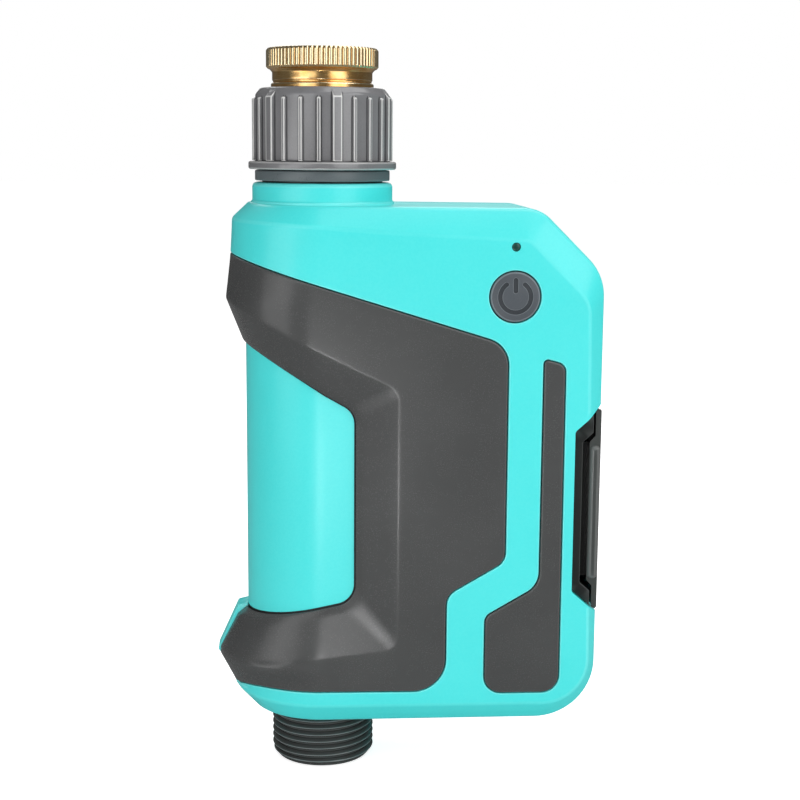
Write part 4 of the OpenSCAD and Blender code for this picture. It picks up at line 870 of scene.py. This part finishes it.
# Collar on top of the case, and the glide ring above it
ringForms = {
    "neckCollar": {"edge": [(12.42, 128.4, 0.1), (17.9, 128.4, 0.1), (17.9, 129.55, 0.1), (17.5, 129.95, 0.4),
                            (17.5, 134.3, 1.15), (12.42, 134.3, 0.3)], "runs": [1, 1, 1, 4, 1, 1],
                   "turns": [1, 1, 1, 3, 8, 2], "finish": "caseTurquoise", "node": "neck_collar"},
    "glideRing": {"edge": [(12.42, 134.72, 0.2), (16.8, 134.72, 0.35), (16.8, 137.28, 0.35), (12.42, 137.28, 0.2)],
                  "runs": [1, 1, 1, 1], "turns": [2, 5, 5, 2], "finish": "ringGrey", "node": "glide_ring"},
}
for name, form in ringForms.items():
    piece(name, [turned(outlineOf(form), fullTurn(ringCount))], form["finish"], "timer", form["node"])
print("collar and ring made")

nutForm = {
    "edge": [(12.6, 137.5, 0.25), (18.4, 137.5, 0.5), (18.4, 139.4, 0.5), (16.6, 139.5, 0.35), (16.6, 155.7, 1.5),
             (15.3, 157.3, 1.0), (13.08, 157.3, 0.25), (13.08, 145.4, 0), (14.7, 145.4, 0), (14.7, 140.5, 0),
             (12.6, 140.5, 0)],
    "runs": [2, 2, 2, 58, 2, 1, 1, 1, 1, 1, 1], "turns": [2, 6, 6, 3, 14, 7, 3, 1, 1, 1, 1],
    "first": 11.1, "ribs": 24, "wideEvery": 4, "wall": 16.6, "spread": 17, "bore": 14.75,
    "thin": {"half": 0.52, "high": 0.9, "top": 154.4, "rows": [7.5, 5, 3, 1.9, 1.74, 1.62, 1.45, 1.22, 0.96, 0.4]},
    "wide": {"half": 1.2, "high": 0.95, "top": 156.5, "rows": [7.5, 5.7, 4.2, 4.03, 3.92, 3.75, 3.5, 3.25, 2.0, 0.7]},
    "soft": 0.23, "from": 139.6, "capZ": 154.9, "capSlope": 0.95,
}


# Nut: a turned body with thin ribs, whose tops are round, and wide ones that run up onto the dome. A rib rises over
# its soft edge on a quarter round, by the distance inside its outline
def nutSurfaces():
    n = nutForm
    thin, wide = n["thin"], n["wide"]
    angles, offsets, kinds = [], [], []
    for i in range(n["ribs"]):
        kind = i % n["wideEvery"] == 0
        rows = (wide if kind else thin)["rows"]
        spread = np.array([-r for r in rows] + rows[:0:-1])
        angles.append(n["first"] - 90 + i * 360 / n["ribs"] + spread)
        offsets.append(spread)
        kinds.append(np.full(len(spread), kind))
    angles, offsets, kinds = (np.concatenate(v) for v in (angles, offsets, kinds))
    profile = outlineOf(n)
    radius, z = profile[:, :1], profile[:, 1:]
    s = np.abs(np.radians(offsets)) * n["spread"]
    thinEdge = thin["half"] - np.hypot(s, np.maximum(z - thin["top"], 0))
    wideEdge = np.minimum(wide["half"] - s, wide["top"] - z)
    cap = n["wall"] + wide["high"] - np.maximum((z - n["capZ"]) * n["capSlope"], 0)
    high = np.where(kinds, np.maximum(cap - radius, 0), thin["high"])
    t = np.clip(np.where(kinds, wideEdge, thinEdge) / n["soft"], 0, 1)
    ribs = np.where((z > n["from"]) & (radius > n["bore"]), high * np.sqrt(1 - (1 - t) ** 2), 0)
    return [turned(profile, np.radians(angles), swell=ribs)]


piece("swivelNut", nutSurfaces(), "nutGrey", "nut", "swivel_nut", weld=0.002, sharp=50)


# Flat ring at one height between circles of points, which may have different counts
def flatRing(height, *circles):
    return patch([c[:, :2] for c in circles], lambda s: raised(s, height, at=2))


threadCount = 108  # points round a thread and the rings that meet it


# Points on a circle round the column axis
def circlePoints(radius, height):
    return raised(polar(radius, fullTurn(threadCount)), height, at=2)


# Screw thread as a sheared grid: rows follow the helix and the last column joins the first one pitch higher.
# limit(z) gives the radius range that the end cones allow at each height
def thread(form, reach, limit):
    low, high, pitch, perTurn = (form[key] for key in ("low", "high", "pitch", "perTurn"))
    a = fullTurn(threadCount)
    count = int(math.ceil((high - low) / pitch * perTurn)) + 2 * perTurn
    phase = np.arange(count)[:, None] / perTurn
    z = np.clip(low + (phase - 1.5 + a / (2 * math.pi)) * pitch, low, high)
    radius = np.clip(reach(phase % 1.0 + 0 * a), *limit(z))
    rows = np.concatenate([polar(radius, a), z[..., None]], -1)
    i = np.arange(count - perTurn - 1)
    join = np.stack([(i + 1) * threadCount - 1, (i + perTurn) * threadCount, (i + 1 + perTurn) * threadCount,
                     (i + 2) * threadCount - 1], -1)
    return rows.reshape(-1, 3), np.concatenate([gridFaces(count, threadCount), join])


adapterForm = {
    "edge": [(10.6, 145.62, 0), (13.0, 145.62, 0.3), (13.0, 156.9, 0.3), (12.72, 157.2, 0.3), (12.72, 158.3, 0.35),
             (12.2, 158.55, 0.15), (12.2, 158.95, 0.15), (12.4, 159.15, 0.15), (12.4, 161.1, 0.5), (13.0, 161.75, 0.3),
             (13.5, 161.95, 0.2), (13.9, 162.4, 0.3), (13.9, 166.35, 0.35), (13.45, 166.9, 0.2), (13.3, 166.9, 0)],
    "runs": [1, 2, 1, 2, 1, 1, 1, 3, 1, 1, 1, 5, 1, 1], "turns": [3, 3, 3, 4, 3, 3, 3, 5, 3, 3, 4, 5, 3],
    "flutes": 72, "perFlute": 8, "fluteDeep": 0.34, "fluteFrom": 161.9, "fluteRoot": 13.35, "fluteFade": 0.5,
    "fluteRound": 0.7, "minor": 9.3155, "major": 10.4775, "pitch": 1.814, "perTurn": 12, "low": 153.1, "high": 166.9,
    "mouth": 0.25, "mouthSlope": 1.15, "footSlope": 3, "bore": 7.6, "foot": 145.62,
    "ridge": [0, 0.1, 0.42, 0.58, 0.9, 1],
}


# Brass adapter: fluted grip ring, waist, and a screwed bore
def adapterSurfaces():
    f = adapterForm
    low, high, minor, major = f["low"], f["high"], f["minor"], f["major"]
    profile, a = outlineOf(f, closed=False), fullTurn(f["flutes"] * f["perFlute"])
    deep = f["fluteDeep"] * np.clip((profile[:, :1] - f["fluteRoot"]) / f["fluteFade"], 0, 1)
    deep = deep * (profile[:, 1:] > f["fluteFrom"])
    outside = turned(profile, a, False, -deep * (1 - np.abs(np.sin(a * f["flutes"] / 2)) ** f["fluteRound"]))
    grid = outside[0].reshape(-1, len(a), 3)

    def reach(phase):
        return np.interp(phase, f["ridge"], [minor, minor, major, major, minor, minor])

    def limit(z):
        least = np.maximum(minor, major + f["mouth"] - (high - z) * f["mouthSlope"])
        return least, np.maximum(least, minor + (z - low) * f["footSlope"])

    bore = [circlePoints(*ring) for ring in ((minor, low), (f["bore"], low), (f["bore"], f["foot"]))]
    return [outside, thread(f, reach, limit), flatRing(high, grid[-1], circlePoints(major + f["mouth"], high)),
            tube(bore), flatRing(f["foot"], grid[0], bore[-1])]


piece("brassAdapter", adapterSurfaces(), "brass", "adapter", "brass_adapter", weld=0.002, sharp=45)
print("nut and adapter made")

spoutForm = {
    "radius": 13.2, "root": 12.06, "pitch": 1.814, "perTurn": 14, "low": -14.7, "high": -0.75, "neck": 12.45,
    "end": 11.85, "endSlope": 0.9, "neckSlope": 0.8, "rootSlope": 2,
    "ridge": ([0, 0.16, 0.3, 0.38, 0.5, 0.62, 0.7, 0.84, 1], [0, 0, 0.62, 0.9, 1, 0.9, 0.62, 0, 0]),
    "above": [(12.45, -0.75), (12.45, 2.28), (15.5, 2.28), (15.5, 5.4), (7.8, 5.4), (7.8, 10.3), (6.8, 10.3),
              (6.8, 3.9), (9.5, 3.9), (9.5, -14.2), (10.0, -14.7)],
}


# Outlet: a rounded pipe thread with a blunt end, a plain neck, and the flange and socket inside the case
def spoutSurfaces():
    f = spoutForm

    def reach(phase):
        return f["root"] + (f["radius"] - f["root"]) * np.interp(phase, *f["ridge"])

    def limit(z):
        up = f["end"] + (z - f["low"]) * f["endSlope"]
        down = f["neck"] + (f["high"] - z) * f["neckSlope"]
        least = np.maximum(np.minimum(up, f["root"]), f["neck"] - (f["high"] - z) * f["rootSlope"])
        return least, np.minimum(np.minimum(up, down), f["radius"])

    rings = [circlePoints(*ring) for ring in f["above"] + [(f["end"], f["low"])]]
    return [thread(f, reach, limit), tube(rings)]


piece("outletSpout", spoutSurfaces(), "threadBlack", "timer", "outlet_spout", weld=0.003, sharp=50)


# Reach of the button's domed front
def buttonReach(flat):
    b = buttonForm
    return b["front"] - ((flat[..., 0] - b["x"]) ** 2 + (flat[..., 1] - b["z"]) ** 2) / b["dome"]


# Power sign: a ring open at the top with round ends, and an upright bar
def signLines():
    b = buttonForm
    middle, half = (b["signOut"] + b["signIn"]) / 2, (b["signOut"] - b["signIn"]) / 2
    gap = math.radians(b["signGap"])
    a = np.linspace(math.pi / 2 - gap, math.pi / 2 + gap - 2 * math.pi, b["ringSteps"])
    cap = np.linspace(0, math.pi, b["capSteps"])[1:-1]
    ring = np.concatenate([polar(b["signOut"], a), polar(middle, a[-1]) + polar(half, a[-1] - cap),
                           polar(b["signIn"], a)[::-1], polar(middle, a[0]) + polar(half, a[0] + math.pi - cap)])
    w, low, high = b["barHalf"], b["barLow"], b["barHigh"]
    corner = w * b["corner"]
    bar = chain([(-w, high, corner), (w, high, corner), (w, low, corner), (-w, low, corner)], [2, 4, 2, 4],
                [6, 6, 6, 6], closed=True)
    return [line + (b["x"], b["z"]) for line in (ring, bar)]


# Button: rounded rim, stepped back, and a domed face in which the sign is engraved
def buttonSurfaces():
    b = buttonForm
    rim = circle(b, b["radius"], b["around"])
    rows, face, _ = lipRows(rim, -normals(rim, closed=True), b["back"][0][1], b["lip"], None, b["support"][0],
                            reach=buttonReach)
    back = [wrap(circle(b, radius, b["around"]), depth) for radius, depth in b["back"]]
    surfaces, loops = [tube(np.concatenate([rows, back]))], [face]
    floor = lambda flat: buttonReach(flat) - b["engraved"]
    for line in signLines():
        rows, beside, foot = lipRows(line, normals(line, closed=True), floor, b["signLip"], None,
                                     b["support"][1], steps=3, reach=buttonReach)
        surfaces += [tube(rows), facing([foot], floor)]
        loops.append(beside)
    band = (b["x"] - b["latticeHalf"], b["x"] + b["latticeHalf"])
    return surfaces + [facing(loops, buttonReach, band, (b["pitch"], b["pitch"]))]


piece("powerButton", buttonSurfaces(), "buttonGrey", "button", "power_button", weld=0.002, sharp=50)

lens = [wrap(circle(lightForm, radius, lightForm["around"]), depth) for radius, depth in lightForm["rows"]]
piece("lightWindow", [tube(lens)], "lightDark", "timer", "light_window", weld=0.002)
print("spout, button and light made")

# Bezel in the notch and the drawer's door, as prisms across the case: a plate, the core that holds the tray, and a pad.
# The door's plate and core take the bezel's near-black as painted shade; only the pad has the door's grey
doorForms = {
    "batteryBezel": {"edge": [(61.62, 74.35, 1.0), (66.4, 78.65, 0.25), (66.4, 73.9, 0.5), (63.85, 71.7, 0.6),
                              (63.85, 35.9, 0.6), (66.4, 33.7, 0.5), (66.4, 29.9, 0.25), (61.62, 34.1, 1.0)],
                     "runs": [6, 4, 3, 20, 3, 4, 6, 30], "turns": [5, 2, 3, 3, 3, 3, 2, 5], "half": 20.3,
                     "cut": 0.22, "opening": 16.4, "middle": 53.7, "through": (50, 80)},
    "drawerPlate": {"edge": [(68.28, 79.9, 0.3), (67.3, 79.05, 0.2), (67.3, 72.9, 0.4), (65.9, 71.4, 0.6),
                             (65.9, 36.3, 0.6), (67.3, 34.8, 0.4), (67.3, 29.45, 0.2), (68.28, 28.6, 0.3)],
                    "runs": [2, 4, 3, 20, 3, 4, 2, 30], "turns": [2, 2, 3, 4, 4, 3, 2, 2], "half": 19.2, "cut": 0.2},
    "drawerCore": {"edge": [(64.3, 71.0, 0.4), (66.4, 71.0, 0.1), (66.4, 36.5, 0.1), (64.3, 36.5, 0.4)],
                   "runs": [2, 12, 2, 12], "turns": [3, 2, 2, 3], "half": 16.3, "cut": 0.2},
    "drawerPad": {"edge": [(65.75, 70.4, 1.1), (68.42, 70.7, 1.1), (68.42, 36.4, 1.1), (65.75, 36.7, 1.1)],
                  "runs": [4, 20, 4, 20], "turns": [6, 6, 6, 6], "half": 20.0, "cut": 1.05, "steps": 6,
                  "finish": "doorGrey"},
}
for name, form in doorForms.items():
    fixed = name == "batteryBezel"
    # Pieces without a finish take the bezel's near-black: the bezel's own colour, and on the door's plate and core
    # painted shade
    prismSurfaces = softPrism(outlineOf(form), -form["half"], form["half"], form["cut"], form.get("steps", 4))
    made = piece(name, prismSurfaces, form.get("finish", "bezelBlack"), "timer" if fixed else "drawer",
                 "battery_bezel" if fixed else "drawer_door")
    if fixed:
        h, middle, (x0, x1) = form["opening"], form["middle"], form["through"]
        opening = [(x0, middle - h), (x0, middle + h), (x1, middle + h), (x1, middle - h)]
        cutFrom(made, "openingTool", prism(opening, -h, h))
print("bezel and door made")


# Sets an object at a place in millimetres, with its own x, y and z along three directions
def placeAt(made, place, *directions):
    pose = np.eye(4)
    pose[:3, :3], pose[:3, 3] = np.stack(directions, -1), np.array(place) * mm
    made.matrix_world = Matrix(pose.tolist())


# Camera at the photograph's angle: place, turn round Z, tilt down and roll, in millimetres and degrees
shot = {"place": (-6.7, -389.43, -22.51), "turn": 3.9, "tilt": 9.4, "roll": 0.42, "lens": 69.3,
        "sensor": 36.0, "clip": (0.02, 20)}
turn, tilt, roll = (math.radians(shot[k]) for k in ("turn", "tilt", "roll"))
ahead = np.array([math.sin(turn) * math.cos(tilt), math.cos(turn) * math.cos(tilt), -math.sin(tilt)])
level = np.array([math.cos(turn), -math.sin(turn), 0.0])
above = np.cross(level, ahead)
camera = added("camera", bpy.data.cameras.new("camera"))
camera.data.lens, camera.data.sensor_width = shot["lens"], shot["sensor"]
camera.data.clip_start, camera.data.clip_end = shot["clip"]
placeAt(camera, shot["place"], math.cos(roll) * level + math.sin(roll) * above,
        math.cos(roll) * above - math.sin(roll) * level, -ahead)
bpy.context.scene.camera = camera

# White sweep: the floor keeps the object's shadow, and what the camera or a gloss sees of it is white
stage = {"floorDrop": -181.2, "reach": 6.0, "paint": (0.8, 0.8, 0.8, 1), "glow": 0.8,
         "glossShade": (0.25, 0.25, 0.25, 1), "skySeen": 0.7, "skyGloss": 0.2, "skyLight": 0.3}


# Whether a ray comes from the camera, from a gloss, or through glass
def rays(start):
    return [start.make("LightPath", out=k) for k in (0, 3, 6)]


floorWhite = bpy.data.materials.new("floorWhite")
start = startOf(floorWhite)
seen, gloss, glass = rays(start)
paint = start.make("BsdfDiffuse", {}, {"Color": gloss.blend(stage["paint"], stage["glossShade"])})
light = start.make("Emission", {}, {"Color": (1, 1, 1, 1), "Strength": stage["glow"]})
both = start.make("AddShader", {}, {0: paint, 1: light})
mask = (seen + glass).do("MINIMUM", 1.0)
start.make("OutputMaterial", {}, {"Surface": start.make("MixShader", {}, {0: mask, 1: paint, 2: both})})
flat = bpy.data.meshes.new("floor")
corners = np.array([(-1, -1, 0), (1, -1, 0), (1, 1, 0), (-1, 1, 0)]) * stage["reach"]
flat.from_pydata((corners + (0, 0, stage["floorDrop"] * mm)).tolist(), [], [(0, 1, 2, 3)])
flat.materials.append(floorWhite)
added("floor", flat)

# World: white for the camera, an even pale grey as light
world = bpy.data.worlds.new("studio")
bpy.context.scene.world = world
start = startOf(world)
seen, gloss, glass = rays(start)
strength = seen.do("MAXIMUM", glass) * stage["skySeen"] - gloss * stage["skyGloss"] + stage["skyLight"]
sky = start.make("Background", {}, {"Color": (1, 1, 1, 1), "Strength": strength})
start.make("OutputWorld", {}, {"Surface": sky})

# Softboxes: place, aimed point, width, height and power
lamps = {
    "leftBox": {"place": (-585, -457, -210), "aim": (10, 0, -120), "size": (520, 400), "power": 1.4},
    "leftTop": {"place": (-415, -615, 170), "aim": (10, 0, -40), "size": (540, 420), "power": 1.02},
    "rightBox": {"place": (430, -590, 180), "aim": (10, 0, -80), "size": (540, 620), "power": 1.95},
    "sideBox": {"place": (600, -290, 310), "aim": (40, 0, -60), "size": (220, 220), "power": 0.45},
    "frontBox": {"place": (-8, -272, -117), "aim": (2, -21, -141), "size": (44, 16), "power": 0.023},
    "lowBox": {"place": (-25, -272, -160), "aim": (12, -21, -141), "size": (24, 28), "power": 0.06},
    "topBox": {"place": (260, -60, 600), "aim": (10, 0, -60), "size": (700, 460), "power": 2.1},
    "backBox": {"place": (20, 600, 180), "aim": (20, 0, -40), "size": (300, 180), "power": 0.22},
    "rearBox": {"place": (-60, 560, 560), "aim": (10, 0, -80), "size": (700, 400), "power": 2.5},
}
for name, lamp in lamps.items():
    made = added(name, bpy.data.lights.new(name, "AREA"))
    made.data.shape = "RECTANGLE"
    made.data.size, made.data.size_y = (s * mm for s in lamp["size"])
    made.data.energy = lamp["power"]
    back = np.array(lamp["place"], float) - np.array(lamp["aim"], float)
    back /= np.linalg.norm(back)
    right = np.cross((0, 0, 1), back)
    right /= np.linalg.norm(right)
    placeAt(made, lamp["place"], right, np.cross(back, right), back)
bpy.context.scene.view_settings.view_transform = "Standard"
print("camera, stage and lamps set")
